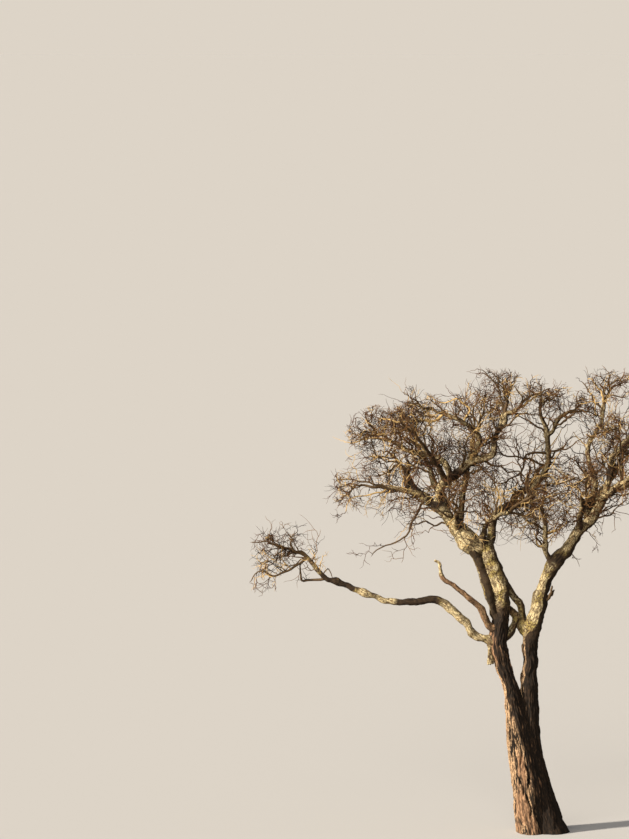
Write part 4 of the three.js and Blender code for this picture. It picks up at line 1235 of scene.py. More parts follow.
    def stub_shell(self) -> Shell:
        """The broken stub under the low bough's foot, as a short limb with a ragged end."""
        ends = np.array(STUB_ENDS, float)
        share = np.linspace(0, 1, self.stub_rows)
        points = ends[0] + share[:, None] * (ends[1] - ends[0])
        points = points + np.stack([sway * np.sin(share * turn) for sway, turn in STUB_SWAY], axis=1)
        radii = np.interp(share, STUB_PLACES, np.array(STUB_GIRTH) / 2)
        tube = Tube.about(Axis(points, radii), self.stub_columns)
        width, stretch = STUB_FURROWS
        furrow = self.furrows(tube.limb_place, np.full_like(tube.radius, width), stretch, self.seed + 77)
        lumps = bark_noise("stub_lumps", tube.limb_place, self.seed)
        tube.move_out(STUB_RELIEF["lumps"] * lumps - STUB_RELIEF["furrows"] * furrow)
        splinter = STUB_RELIEF["splinters"] * bark_noise("splinters", tube.limb_place, self.seed)
        tube.grid[..., 2] -= splinter * smooth_step(STUB_PLACES[-2], 1.0, share)[:, None]
        pale = np.repeat(smooth_step(*STUB_PALE, share)[:, None], self.stub_columns, axis=1)
        zero = np.zeros_like(tube.radius)
        values = {"cracks": furrow, "old": zero, "wood": zero, "lichen": STUB_LICHEN + zero,
                  "bleached": pale, "dark": zero, "limb_place": tube.limb_place * METRES}
        tip = points[-1] + np.array([0, 0, STUB_HOLLOW])
        return grid_shell(bent(tube.grid), bent(points[0]), bent(tip), values)

    def build(self, furrowed: Material, pale: Material) -> None:
        """Makes the bark of every run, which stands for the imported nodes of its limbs."""
        for run in self.skeleton.runs():
            shell = self.shell_of(run)
            if STUB_LIMB in run:
                shell = Shell.joined([shell, self.stub_shell()])
            on_ground = run[0] in TRUNK_STEMS
            piece = shell.piece(f"{run[0]}_bark", [furrowed if on_ground else pale])
            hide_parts(*["trunk" if name in TRUNK_STEMS else name for name in run])
            log.info("%s: %s, %d triangles", piece.name, ", ".join(run), shell.triangle_count())


@dataclass
class Twigs:
    """Many twigs of one order, as arrays with one row to a twig."""

    path: Array  # (n, pieces + 1, 3)
    length: Array
    radius: Array
    seed: Array
    span: Array  # the length that its side twigs' lengths go by
    bow: Array  # (n, 3, 3): the twig's arch, double bend and hook, as sideways vectors
    kinks: Array  # (n, corners + 1, 3): how far it stands off at even places, as sideways vectors
    tone: Array
    anchor: Array  # (n, 3): where its branch leaves the wood, which never moves

    def __len__(self) -> int:
        """How many twigs."""
        return len(self.path)

    def chosen(self, keep: Array) -> "Twigs":
        """The twigs at a mask or an index."""
        return Twigs(*(value[keep] for value in vars(self).values()))

    def headings(self) -> Array:
        """The heading of each straight piece, (n, pieces, 3)."""
        return unit(np.diff(self.path, axis=1))

    def at(self, share: Array | tuple[float, ...]) -> tuple[Array, Array]:
        """Points and headings along each twig.

        A point lies on the twig's straight pieces plus length (a 4t(1 - t) + b sin(2 pi t) + c t^3 + z).
        Here a, b and c are its arch, double bend and hook, t is the share of its length, and z goes
        straight from each kink to the next.

        Args:
            share: from 0 to 1, (n, m), or the same m shares for every twig.

        Returns:
            Points and unit headings, each (n, m, 3).
        """
        share = np.broadcast_to(share, (len(self), np.shape(share)[-1]))
        pieces = self.path.shape[1] - 1
        place = share * pieces
        k = np.clip(np.floor(place).astype(int), 0, pieces - 1)
        rows = np.arange(len(self))[:, None]
        start, end = self.path[rows, k], self.path[rows, k + 1]
        t = share[..., None]
        size = self.length[:, None, None]
        arch, weave, hook = (self.bow[:, None, k] * size for k in range(3))
        points = start + (end - start) * (place - k)[..., None] + arch * 4 * t * (1 - t)
        points = points + weave * np.sin(2 * np.pi * t) + hook * t ** 3
        slope = (end - start) * pieces + arch * 4 * (1 - 2 * t)
        slope = slope + weave * 2 * np.pi * np.cos(2 * np.pi * t) + hook * 3 * t * t
        corners = self.kinks.shape[1] - 1
        corner = np.clip(np.floor(share * corners).astype(int), 0, corners - 1)
        low, step = self.kinks[rows, corner], self.kinks[rows, corner + 1] - self.kinks[rows, corner]
        points = points + size * (low + step * (share * corners - corner)[..., None])
        return points, unit(slope + size * step * corners)


class Space:
    """A mass's own space: a flattened ball shared off from its neighbours by planes."""

    def __init__(self, name: str) -> None:
        self.centre, self.reach = self.flatten(np.array(MASSES[name].middle, float)), MASSES[name].reach
        normals, limits = [], []
        for other, mass in MASSES.items():
            if other == name:
                continue
            away = self.flatten(np.array(mass.middle, float)) - self.centre
            distance = np.linalg.norm(away)
            share = (distance ** 2 + self.reach ** 2 - mass.reach ** 2) / (2 * distance)
            normal = away / distance
            limit = normal @ self.centre + share - TWIG_MARGIN / MASS_FLATNESS
            if limit - normal @ self.centre < self.reach:
                normals.append(normal)
                limits.append(limit)
        self.normals, self.limits = np.array(normals).reshape(-1, 3), np.array(limits)

    @staticmethod
    def flatten(points: Array) -> Array:
        """Points in the coordinates in which the space is round."""
        return points / np.array([1, 1, MASS_FLATNESS])

    def room(self, start: Array, heading: Array) -> Array:
        """How far each ray may run inside the space: to the ball or to the nearest plane ahead."""
        p, d = self.flatten(start), self.flatten(heading)
        offset = p - self.centre
        a, b = np.sum(d * d, axis=-1), np.sum(offset * d, axis=-1)
        root = b * b - a * (np.sum(offset * offset, axis=-1) - self.reach ** 2)
        room = np.where(root > 0, (-b + np.sqrt(np.maximum(root, 0))) / a, 0)
        for normal, limit in zip(self.normals, self.limits):
            speed = d @ normal
            ahead = (limit - p @ normal) / np.where(speed > 1e-9, speed, 1)
            room = np.where(speed > 1e-9, np.minimum(room, ahead), room)
        return room

    def holds(self, points: Array, fine: bool) -> Array:
        """Whether each point is inside the space; a fine twig may cross its borders, but not its reach."""
        p = self.flatten(points)
        inside = np.linalg.norm(p - self.centre, axis=-1) <= self.reach
        return inside if fine else inside & np.all(p @ self.normals.T <= self.limits, axis=-1)


class Clearance:
    """Keeps twigs off the limbs."""

    reach = 250  # past the twigs' box, within which limbs are looked at

    def __init__(self, skeleton: Skeleton) -> None:
        self.starts, self.ends, self.radii = skeleton.pieces()
        self.lows, self.highs = np.minimum(self.starts, self.ends), np.maximum(self.starts, self.ends)

    def clear(self, path: Array, radius: Array) -> Array:
        """Whether each path, (n, k, 3), keeps its radius and a margin off every limb."""
        low, high = path.min(axis=(0, 1)) - self.reach, path.max(axis=(0, 1)) + self.reach
        near = np.all((self.highs > low) & (self.lows < high), axis=1)
        c, v, thick = self.starts[near], (self.ends - self.starts)[near], self.radii[near]
        keep = np.ones(len(path), bool)
        for k in range(path.shape[1] - 1):
            gap = self.gaps(path[:, k], path[:, k + 1] - path[:, k], c, v)
            keep &= np.all(gap > thick + radius[:, None] + TWIG_MARGIN, axis=1)
        return keep

    @staticmethod
    def gaps(a: Array, u: Array, c: Array, v: Array) -> Array:
        """The shortest distance from each straight piece a + su to each piece c + tv, as (n, m)."""
        w = a[:, None] - c[None]
        uu, vv, uv = np.sum(u * u, axis=1)[:, None], np.sum(v * v, axis=1)[None], u @ v.T
        uw, vw = np.einsum("nd,nmd->nm", u, w), np.einsum("md,nmd->nm", v, w)
        skew = uu * vv - uv * uv
        s = np.where(skew > 1e-9, np.clip((uv * vw - vv * uw) / np.where(skew > 1e-9, skew, 1), 0, 1), 0)
        t = np.clip((uv * s + vw) / vv, 0, 1)
        s = np.clip((uv * t - uw) / uu, 0, 1)
        return np.linalg.norm(w + s[..., None] * u[:, None] - t[..., None] * v[None], axis=-1)


class Tone(Enum):
    """The colours that sprays are dealt, by their place in a twig piece's materials."""

    WOOD = 0
    GOLDEN = 1
    STRAW = 2
    RUSSET = 3
    UMBER = 4


# The share of the sprays that has each tone; straw stands partly for a painted highlight, and umber partly
# for painted shade.
TONE_SHARES = ((Tone.GOLDEN, 0.32), (Tone.STRAW, 0.14), (Tone.RUSSET, 0.26), (Tone.UMBER, 0.28))


def dealt_tones(seed: Array) -> Array:
    """A tone for each seed, as numbers, by the shares."""
    limits = np.cumsum([share for _, share in TONE_SHARES])
    tones = np.array([tone.value for tone, _ in TONE_SHARES])
    return tones[np.minimum(np.searchsorted(limits, draw(seed, TONE_DRAW)), len(tones) - 1)]


Grown = list[tuple[int, Twigs]]  # sets of twigs, each with its order


@dataclass
class TwigRule:
    """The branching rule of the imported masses, carried to finer orders."""

    clearance: Clearance

    @staticmethod
    def paths(foot: Array, heading: Array, length: Array, seed: Array, order: int) -> Array:
        """Crooked paths: each piece turns a little by chance and lifts a little."""
        rule = ORDERS[order]
        points = [foot]
        for k in range(rule.pieces):
            if k:
                heading = heading + draw_vector(seed, 10 + 3 * k) * rule.wander
            heading = unit(heading + np.array([0, 0, rule.lift]))
            points.append(points[-1] + heading * (length / rule.pieces)[:, None])
        return np.stack(points, axis=1)

    @staticmethod
    def bows(heading: Array, seed: Array, order: int) -> Array:
        """Each twig's arch, weaker double bend and hooked tip, square to its heading."""
        u, v = sideways(heading)
        rule = ORDERS[order]
        bends = []
        sizes = ((rule.bow, BOW_LEAST), (WEAVE_SHARE * rule.bow, 0.0), (rule.hook, 0.0))
        for k, (size, least) in enumerate(sizes):
            turn = 2 * np.pi * draw(seed, BOW_DRAW + 2 * k)
            reach = size * draw_between((least, BEND_MOST), seed, BOW_DRAW + 1 + 2 * k)[:, None]
            bends.append(around(u, v, turn) * reach)
        return np.stack(bends, axis=1)

    @staticmethod
    def zigzag(heading: Array, seed: Array, size: float, corners: int) -> Array:
        """Each twig's kinks: corners that stand off to either side by turns, and none at its ends."""
        u, v = sideways(heading)
        k = np.arange(1, corners)
        chance = KINK_CHANCE * (draw(seed[:, None], TURN_DRAW + k) - 0.5)
        turn = 2 * np.pi * draw(seed, TURN_DRAW - 1)[:, None] + np.pi * k + chance
        reach = size * draw_between(KINK_REACH, seed[:, None], KINK_DRAW + k)[..., None]
        return np.pad(around(u[:, None], v[:, None], turn) * reach, ((0, 0), (1, 1), (0, 0)))

    def twigs(self, foot: Array, heading: Array, length: Array, radius: Array, seed: Array, order: int,
              **others: Array) -> Twigs:
        """Twigs of one order from their feet and headings; the others are tone, anchor and maybe span."""
        rule = ORDERS[order]
        others.setdefault("span", length)
        return Twigs(path=self.paths(foot, heading, length, seed, order), length=length, radius=radius,
                     seed=seed, bow=self.bows(heading, seed, order),
                     kinks=self.zigzag(heading, seed, rule.kink, rule.corners), **others)

    def side_twigs(self, parents: Twigs, order: int, children: int, space: Space | None) -> Twigs:
        """The side twigs of many parents: each climbs by the golden ratio, and so does its bearing."""
        rule = ORDERS[order]
        i = np.arange(children)[None]
        seed = mix(parents.seed[:, None], i)
        share = SIDE_PLACES[0] + (SIDE_PLACES[1] - SIDE_PLACES[0]) * ((0.5 + (i + 1) * GOLDEN) % 1)
        share = np.broadcast_to(share, seed.shape)
        foot, way = parents.at(share)
        if order <= SPRAY_ORDER:
            last = parents.path.shape[1] - 2
            k = np.minimum((share * (last + 1)).astype(int), last)
            way = parents.headings()[np.arange(len(parents))[:, None], k]
        u, v = sideways(way)
        bearing = 2 * np.pi * (draw(parents.seed[:, None], 3) + i * GOLDEN)
        spread = (np.radians(rule.spread) * draw_between(SPREAD_DRAW, seed, 1))[..., None]
        heading = way * np.cos(spread) + around(u, v, bearing) * np.sin(spread)
        length = rule.share * parents.span[:, None] * draw_between(LENGTH_DRAW, seed, 2)
        if space is not None and order < FINE_ORDER:
            length = np.minimum(length, TWIG_FILL * space.room(foot, heading))
        radius = parents.radius[:, None] * (1 + (TWIG_TIP - 1) * share) * rule.thickness
        radius = np.maximum(radius, LEAST_RADIUS) if order >= SPRAY_ORDER else radius
        seed, length, radius = seed.ravel(), length.ravel(), radius.ravel()
        parent = np.repeat(np.arange(len(parents)), children)
        tone = dealt_tones(seed) if order == SPRAY_ORDER else parents.tone[parent]
        found = self.twigs(foot.reshape(-1, 3), heading.reshape(-1, 3), length, radius, seed, order,
                           tone=tone, anchor=parents.anchor[parent])
        shortest = SHORTEST_TWIG if order <= SPRAY_ORDER else SHORTEST_FINE
        return self.kept(found.chosen(length >= shortest), order, space)

    @staticmethod
    def in_reach(points: Array) -> Array:
        """Whether each twig, (n, k, 3), stays within the solids' box and a little more."""
        return np.all((points > TREE_LOW) & (points < TREE_HIGH), axis=(1, 2))

    @staticmethod
    def under_top(points: Array) -> Array:
        """Whether each twig, (n, k, 3), stays under the crown's top."""
        rights, ups = np.array(CROWN_TOP, float).T
        return np.all(points[..., 2] < np.interp(points[..., 0], rights, ups), axis=1)

    def kept(self, twigs: Twigs, order: int, space: Space | None) -> Twigs:
        """The twigs that stay inside the space, off the limbs and, if fine, out of the sky."""
        if not len(twigs):
            return twigs
        points, _ = twigs.at((0.0, 0.5, 1.0))
        keep = self.clearance.clear(points, twigs.radius) & self.in_reach(points)
        if space is not None:
            keep &= space.holds(twigs.path[:, 1:], order >= FINE_ORDER).all(axis=1)
        if order >= FINE_ORDER:
            keep &= self.under_top(points)
            for right, up, wide, tall in SKY:
                off = ((points[..., 0] - right) / wide) ** 2 + ((points[..., 2] - up) / tall) ** 2
                keep &= (off > 1).all(axis=1)
        return twigs.chosen(keep)

    def grown(self, twigs: Twigs, first: int, space: Space | None) -> Grown:
        """All that grows on a set of twigs, order by order from the first."""
        found = []
        for order in range(first, len(ORDERS)):
            twigs = self.side_twigs(twigs, order, ORDERS[order].children + ORDERS[order].more, space)
            found.append((order, twigs))
        return found

    def mass(self, name: str, bough: Axis) -> Grown:
        """A whole mass: the stem that grows on from its bough's tip, and every order after it."""
        mass, space = MASSES[name], Space(name)
        tip = bough.points[-1]
        along = unit(tip - bough.points[-2])
        heading = unit((np.array(mass.middle, float) - tip) / mass.reach + STEM_FOLLOW * along)
        length = np.maximum(STEM_FILL * space.room(tip, heading), STEM_LEAST * mass.reach)[None]
        seed = mix(TREE_SEED, STEM_SEED + list(MASSES).index(name))[None]
        foot = (tip - along * STEM_SUNK)[None]
        radius = np.array([bough.radii[-1] * STEM_GIRTH])
        stem = self.twigs(foot, heading[None], length, radius, seed, 0, anchor=foot,
                          span=np.array([float(mass.reach)]), tone=np.array([Tone.WOOD.value]))
        return [(0, stem)] + self.grown(stem, 1, space)


@dataclass
class Crown:
    """Everything in twigs: the masses, the branches seen by themselves and the sprouts along the limbs."""

    skeleton: Skeleton
    most_triangles: int = 195_000  # in a piece

    def __post_init__(self) -> None:
        self.rule = TwigRule(Clearance(self.skeleton))

    @staticmethod
    def waved(points: Array, anchor: Array) -> Array:
        """Points of twigs moved by the twigs' field, which sets in from their anchor, and the limbs'."""
        away = np.linalg.norm(points - anchor[:, None], axis=-1)
        swing = waves(points, TWIG_WAVES, TWIG_WAVE_SEED)
        return bent(points + swing * smooth_step(0, STILL, away)[..., None])

    def tubes(self, twigs: Twigs, order: int) -> Shell:
        """Twigs as tapering tubes that end in a point, each ring carried along from the one before."""
        rule = ORDERS[order]
        steps = STRAY_STEPS if twigs.path.shape[1] > STRAY_STEPS else rule.steps
        count, sides = len(twigs), rule.sides
        path = self.waved(twigs.at(np.linspace(0, 1, steps + 1))[0], twigs.anchor)
        ways = unit(np.concatenate([path[:, 1:2] - path[:, :1], path[:, 2:] - path[:, :-2]], axis=1))
        side = sideways(ways[:, 0])[0]
        thick = twigs.radius * (TWIG_BARK if order else 1.0)
        angle = 2 * np.pi * np.arange(sides) / sides
        rings = []
        for k in range(steps):
            side = unit(side - ways[:, k] * np.sum(side * ways[:, k], axis=1, keepdims=True))
            other = np.cross(ways[:, k], side)
            radius = np.maximum(thick * (1 + (TWIG_TIP - 1) * k / steps), LEAST_TIP)
            ring = around(side[:, None], other[:, None], angle)
            rings.append(path[:, k, None] + ring * radius[:, None, None])
        vertices = np.concatenate([np.stack(rings, axis=1).reshape(count, -1, 3), path[:, -1:]], axis=1)
        here, beside, quads = ring_faces(steps, sides)
        tip = np.stack([here[-1], beside[-1], np.full(sides, steps * sides)], axis=-1)
        foot = np.stack([np.zeros(sides - 2, int), np.arange(2, sides), np.arange(1, sides - 1)], axis=-1)
        triangles = np.vstack([tip, foot])
        offset = np.arange(count)[:, None, None] * vertices.shape[1]
        return Shell(vertices.reshape(-1, 3), (quads[None] + offset).reshape(-1, 4),
                     (triangles[None] + offset).reshape(-1, 3), {},
                     np.repeat(twigs.tone, len(quads)), np.repeat(twigs.tone, len(triangles)))

    def strays(self) -> Grown:
        """The branches of the photograph that stand by themselves, with side twigs by the rule."""
        found = []
        for number, stray in enumerate(STRAYS.values()):
            bends = np.array(stray.bends, float)
            foot = self.skeleton.nearest_on(self.skeleton.axes[stray.parent], bends[0])[0]
            knots = np.vstack([foot, bends])
            dense = curve_at(knots, np.linspace(0, len(knots) - 1, STRAY_SAMPLES * len(knots)))
            total = run_lengths(dense)[-1]
            path = even_points(dense, np.linspace(0, total, STRAY_STEPS + 1))[None]
            seed = mix(TREE_SEED, STRAY_SEED + number)[None]
            heading = unit(path[:, -1] - path[:, 0])
            branch = Twigs(path=path, length=np.array([total]), radius=np.array([stray.girth / 2]),
                           seed=seed, span=np.array([STRAY_SHARE * total]), bow=np.zeros((1, 3, 3)),
                           kinks=self.rule.zigzag(heading, seed, STRAY_KINK / total, STRAY_CORNERS),
                           tone=np.array([(Tone.STRAW if stray.pale else Tone.WOOD).value]),
                           anchor=path[:, 0])
            found.append((SPRAY_ORDER - 1, branch))
            if stray.twigs:
                side = self.rule.side_twigs(branch, SPRAY_ORDER, stray.twigs, None)
                found += [(SPRAY_ORDER, side)] + self.rule.grown(side, SPRAY_ORDER + 1, None)
        return found

    def along_limb(self, name: str, start: float, count: int, first_seed: int, order: int) -> Grown:
        """Sprouts or side branches along one limb, leaning along it and turned up, with all they carry."""
        axis = self.skeleton.axes[name].finer(SPROUT_STEP)
        seed = mix(mix(TREE_SEED, first_seed), np.arange(count))
        share = start + (1 - start) * (np.arange(count) + draw(seed, 1)) / count
        k = np.minimum((share * (len(axis.points) - 1)).astype(int), len(axis.points) - 2)
        way = unit(axis.points[k + 1] - axis.points[k])
        u, v = sideways(way)
        bearing = 2 * np.pi * (np.arange(count) * GOLDEN + draw(seed, 2) * SPROUT_CHANCE)
        heading = around(u, v, bearing) + way * SPROUT_FORWARD
        heading = unit(heading + np.array([0, 0, SPROUT_RISE]))
        is_sprout = order == SPRAY_ORDER
        length = draw_between(SPROUT_LENGTH if is_sprout else BRANCH_LENGTH, seed, 3)
        radius = draw_between(SPROUT_RADIUS if is_sprout else BRANCH_RADIUS, seed, 4)
        foot = axis.points[k] + heading * (axis.radii[k] * SPROUT_SUNK)[:, None]
        tone = dealt_tones(seed) if is_sprout else np.full(count, Tone.WOOD.value)
        sprouts = self.rule.twigs(foot, heading, length, radius, seed, order, tone=tone, anchor=foot)
        outer, _ = sprouts.at(SPROUT_OUTER)
        keep = self.rule.clearance.clear(outer, radius)
        keep = keep & self.rule.in_reach(outer) & self.rule.under_top(outer)
        sprouts = sprouts.chosen(keep)
        return [(order, sprouts)] + self.rule.grown(sprouts, order + 1, None)

    def sprouts(self) -> Grown:
        """The sprouts and side branches of every limb that carries them."""
        found = []
        for number, (name, (start, sprouts, branches)) in enumerate(SPROUTING.items()):
            found += self.along_limb(name, start, sprouts, SPROUT_SEED + number, SPRAY_ORDER)
            if branches:
                found += self.along_limb(name, start, branches, BRANCH_SEED + number, SPRAY_ORDER - 1)
        return found

    def masses(self, names: tuple[str, ...]) -> Grown:
        """Several masses, each grown on from its bough."""
        return [row for name in names for row in self.rule.mass(name, self.skeleton.axes[MASSES[name].on])]

    def pieces_of(self, name: str, grown: Grown, nodes: tuple[str, ...],
                  materials: list[Material]) -> None:
        """Makes the branches and the fine twigs of one part of the crown, each kind apart."""
        kinds = {"branches": [], "fine_twigs": []}
        for order, twigs in grown:
            if len(twigs):
                kinds["fine_twigs" if order >= FINE_ORDER else "branches"].append(self.tubes(twigs, order))
        for kind, shells in kinds.items():
            for part, group in enumerate(self.batches(shells)):
                piece = group.piece(f"{name}_{kind}" + (f"_{part + 1}" if part else ""), materials)
                if nodes:
                    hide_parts(*nodes)
                log.info("%s: %d triangles", piece.name, group.triangle_count())

    def batches(self, shells: list[Shell]) -> list[Shell]:
        """Shells joined into as few pieces as stay under the most triangles."""
        groups: list[list[Shell]] = [[]]
        for shell in shells:
            so_far = sum(other.triangle_count() for other in groups[-1])
            if so_far + shell.triangle_count() > self.most_triangles:
                groups.append([])
            groups[-1].append(shell)
        return [Shell.joined(group) for group in groups if group]

    def build(self, materials: list[Material]) -> None:
        """Grows and makes every part of the crown."""
        for region, names in REGIONS.items():
            self.pieces_of(region, self.masses(names), names, materials)
        self.pieces_of("stray", self.strays(), (), materials)
        self.pieces_of("sprout", self.sprouts(), (), materials)


def linear(colour: str) -> Colour:
    """An sRGB hex colour as linear red, green and blue, with full alpha."""
    values = [int(colour[k:k + 2], 16) / 255 for k in (1, 3, 5)]
    return (*[v / 12.92 if v <= 0.04045 else ((v + 0.055) / 1.055) ** 2.4 for v in values], 1.0)


def add_node(tree: NodeTree, kind: str, values: dict | None = None, links: dict | None = None,
             **settings: object) -> Node:
    """Adds a node.

    Args:
        tree: where to add it.
        kind: the node's type.
        values: a value for each of its input sockets, by name or number.
        links: the output that feeds each of its input sockets, by name or number.
        settings: its own properties.

    Returns:
        The node.
    """
    node = tree.nodes.new(kind)
    for name, value in settings.items():
        setattr(node, name, value)
    for socket, value in (values or {}).items():
        node.inputs[socket].default_value = value
    for socket, source in (links or {}).items():
        tree.links.new(source, node.inputs[socket])
    return node


@dataclass(frozen=True)
class Graph:
    """A material's node tree, with the few kinds of nodes that the finishes are made of."""

    tree: NodeTree

    def attribute(self, name: str, output: str = "Fac") -> NodeSocket:
        """One of the mesh's values."""
        return add_node(self.tree, "ShaderNodeAttribute", attribute_name=name).outputs[output]

    def noise(self, size: float, place: NodeSocket, **values: float) -> NodeSocket:
        """Noise with lumps of so many millimetres."""
        values["Scale"] = 1 / (size * METRES)
        return add_node(self.tree, "ShaderNodeTexNoise", values, {"Vector": place}).outputs["Fac"]

    def ranged(self, source: NodeSocket, limits: Pair) -> NodeSocket:
        """0 where the source is below its limits and 1 where it is above them."""
        return add_node(self.tree, "ShaderNodeMapRange", {"From Min": limits[0], "From Max": limits[1]},
                        {"Value": source}, interpolation_type="SMOOTHSTEP").outputs["Result"]

    def maths(self, operation: str, a: NodeSocket, b: NodeSocket) -> NodeSocket:
        """Two outputs multiplied or added."""
        node = add_node(self.tree, "ShaderNodeMath", links={0: a, 1: b}, operation=operation)
        return node.outputs[0]

    def mixed(self, factor: NodeSocket, a: str | NodeSocket, b: str | NodeSocket) -> NodeSocket:
        """Colour a, or b where the factor is 1; each a hex colour or an output."""
        node = add_node(self.tree, "ShaderNodeMix", links={0: factor}, data_type="RGBA")
        for socket, colour in ((6, a), (7, b)):
            if isinstance(colour, str):
                node.inputs[socket].default_value = linear(colour)
            else:
                self.tree.links.new(colour, node.inputs[socket])
        return node.outputs[2]


@dataclass(frozen=True)
class Finish:
    """What the finishes of bark share: a rough, hardly shiny surface with a grain in low relief."""

    name: str
    roughness: float = 0.92
    gloss: float = 0.3
    relief: float = 2.2  # millimetres, the height of the grain
    strength: float = 0.8  # of the relief's shading

    def surface(self, graph: Graph, place: NodeSocket) -> tuple[Colour | NodeSocket, NodeSocket]:
        """The base colour and the heights of the relief."""
        raise NotImplementedError

    def material(self) -> Material:
        """The finish as a material on object coordinates."""
        made = bpy.data.materials.new(self.name)
        made.use_nodes = True
        tree = made.node_tree
        shader = tree.nodes["Principled BSDF"]
        place = add_node(tree, "ShaderNodeTexCoord").outputs["Object"]
        colour, heights = self.surface(Graph(tree), place)
        if isinstance(colour, tuple):
            shader.inputs["Base Color"].default_value = colour
        else:
            tree.links.new(colour, shader.inputs["Base Color"])
        height = self.relief * METRES
        bump = add_node(tree, "ShaderNodeBump", {"Strength": self.strength, "Distance": height},
                        {"Height": heights})
        tree.links.new(bump.outputs["Normal"], shader.inputs["Normal"])
        shader.inputs["Roughness"].default_value = self.roughness
        shader.inputs["Specular IOR Level"].default_value = self.gloss
        return made


@dataclass(frozen=True)
class BarkFinish(Finish):
    """Acacia bark: corky plates, darkest in their furrows partly as painted shade, with crusts of lichen,
    bare weathered wood, painted light and painted shade.

    A pair of limits says between which values of a noise one colour turns into another.
    """

    old_dark: str = "#513d2c"
    old_light: str = "#c7a886"
    young_dark: str = "#3d2f20"
    young_light: str = "#8b7554"
    # Near black: the furrows' own bark, partly painted shade in furrows and hollows.
    furrow: str = "#16100b"
    lichen_yellow: str = "#9a8c54"
    lichen_cream: str = "#aaa081"
    wood_dark: str = "#4a3223"
    wood_light: str = "#a07f63"
    # Pale tone of bleaching, partly painted light.
    bleached: str = "#c8ba94"
    grain_width: float = 7.0  # millimetres
    grain_stretch: float = 0.14  # across against along
    crust_size: float = 28.0
    speck_size: float = 15.0
    patch_size: float = 140.0
    old_limits: Pair = (0.36, 0.6)
    young_limits: Pair = (0.35, 0.65)
    pore_limits: Pair = (0.38, 0.5)
    crust_limits: Pair = (0.44, 0.51)
    yellow_limits: Pair = (0.42, 0.58)
    bleached_limits: Pair = (0.4, 0.48)
    speck_limits: Pair = (0.56, 0.63)
    painted_shade_grain_limits: Pair = (0.42, 0.85)
    wood_limits: Pair = (0.34, 0.6)

    def surface(self, graph: Graph, place: NodeSocket) -> tuple[NodeSocket, NodeSocket]:
        """The bark's colour, which reads the values worked out with the mesh, and its relief."""
        mixed, ranged, attribute = graph.mixed, graph.ranged, graph.attribute
        is_old = attribute("old")
        stretched = add_node(graph.tree, "ShaderNodeMapping", {"Scale": (1, 1, self.grain_stretch)},
                             {"Vector": attribute("limb_place", "Vector")}).outputs["Vector"]
        grain = graph.noise(self.grain_width, stretched, Detail=3.0)
        crust = graph.noise(self.crust_size, place, Detail=4.0, Roughness=0.65)
        patch = graph.noise(self.patch_size, place, Detail=2.0)
        specks = graph.noise(self.speck_size, place, Detail=2.0)

        old = mixed(ranged(grain, self.old_limits), self.old_dark, self.old_light)
        young = mixed(ranged(patch, self.young_limits), self.young_dark, self.young_light)
        young = mixed(ranged(crust, self.pore_limits), self.young_dark, young)
        bark = mixed(is_old, young, old)
        crusted = graph.maths("MULTIPLY", attribute("lichen"), ranged(crust, self.crust_limits))
        crusts = mixed(ranged(patch, self.yellow_limits), self.lichen_cream, self.lichen_yellow)
        bark = mixed(crusted, bark, crusts)
        # Bleaching and painted light, in the pale tone.
        pale = mixed(ranged(crust, self.bleached_limits), self.young_light, self.bleached)
        bark = mixed(attribute("bleached"), bark, pale)
        shade = mixed(is_old, self.young_dark, self.old_dark)
        bark = mixed(ranged(specks, self.speck_limits), bark, shade)
        # Painted shade over the shaded places, with the furrow colour in its grain.
        bark = mixed(attribute("dark"), bark, mixed(ranged(grain, self.painted_shade_grain_limits), self.furrow, shade))
        bare = mixed(ranged(grain, self.wood_limits), self.wood_dark, self.wood_light)
        bark = mixed(attribute("wood"), bark, bare)
        # Furrows and hollows, darkened partly as painted shade.
        bark = mixed(attribute("cracks"), bark, mixed(is_old, self.young_dark, self.furrow))
        return bark, graph.maths("ADD", grain, crust)


@dataclass(frozen=True)
class TwigFinish(Finish):
    """Thin young bark, smooth enough to catch a faint gloss, in one plain colour to a spray."""

    roughness: float = 0.72
    relief: float = 0.5
    strength: float = 0.5
    colour: str = "#4f3e28"
    grain_size: float = 9.0  # millimetres

    def surface(self, graph: Graph, place: NodeSocket) -> tuple[Colour, NodeSocket]:
        """The twigs' plain colour, and their relief."""
        return linear(self.colour), graph.noise(self.grain_size, place)


# Straw is partly a painted highlight, umber partly painted shade, dealt to whole sprays.
TWIG_FINISHES = {
    Tone.WOOD: TwigFinish("weathered_branch_bark"),
    Tone.GOLDEN: TwigFinish("golden_twig_bark", colour="#684a27"),
    Tone.STRAW: TwigFinish("straw_twig_bark", colour="#c2a570"),
    Tone.RUSSET: TwigFinish("russet_twig_bark", colour="#4b2f1a"),
    Tone.UMBER: TwigFinish("umber_twig_bark", colour="#261910"),
}


@dataclass(frozen=True)
class Lamp:
    """A far lamp: its strength, how many degrees it looks across and where its light comes from."""

    name: str
    strength: float
    angle: float
    source: Place


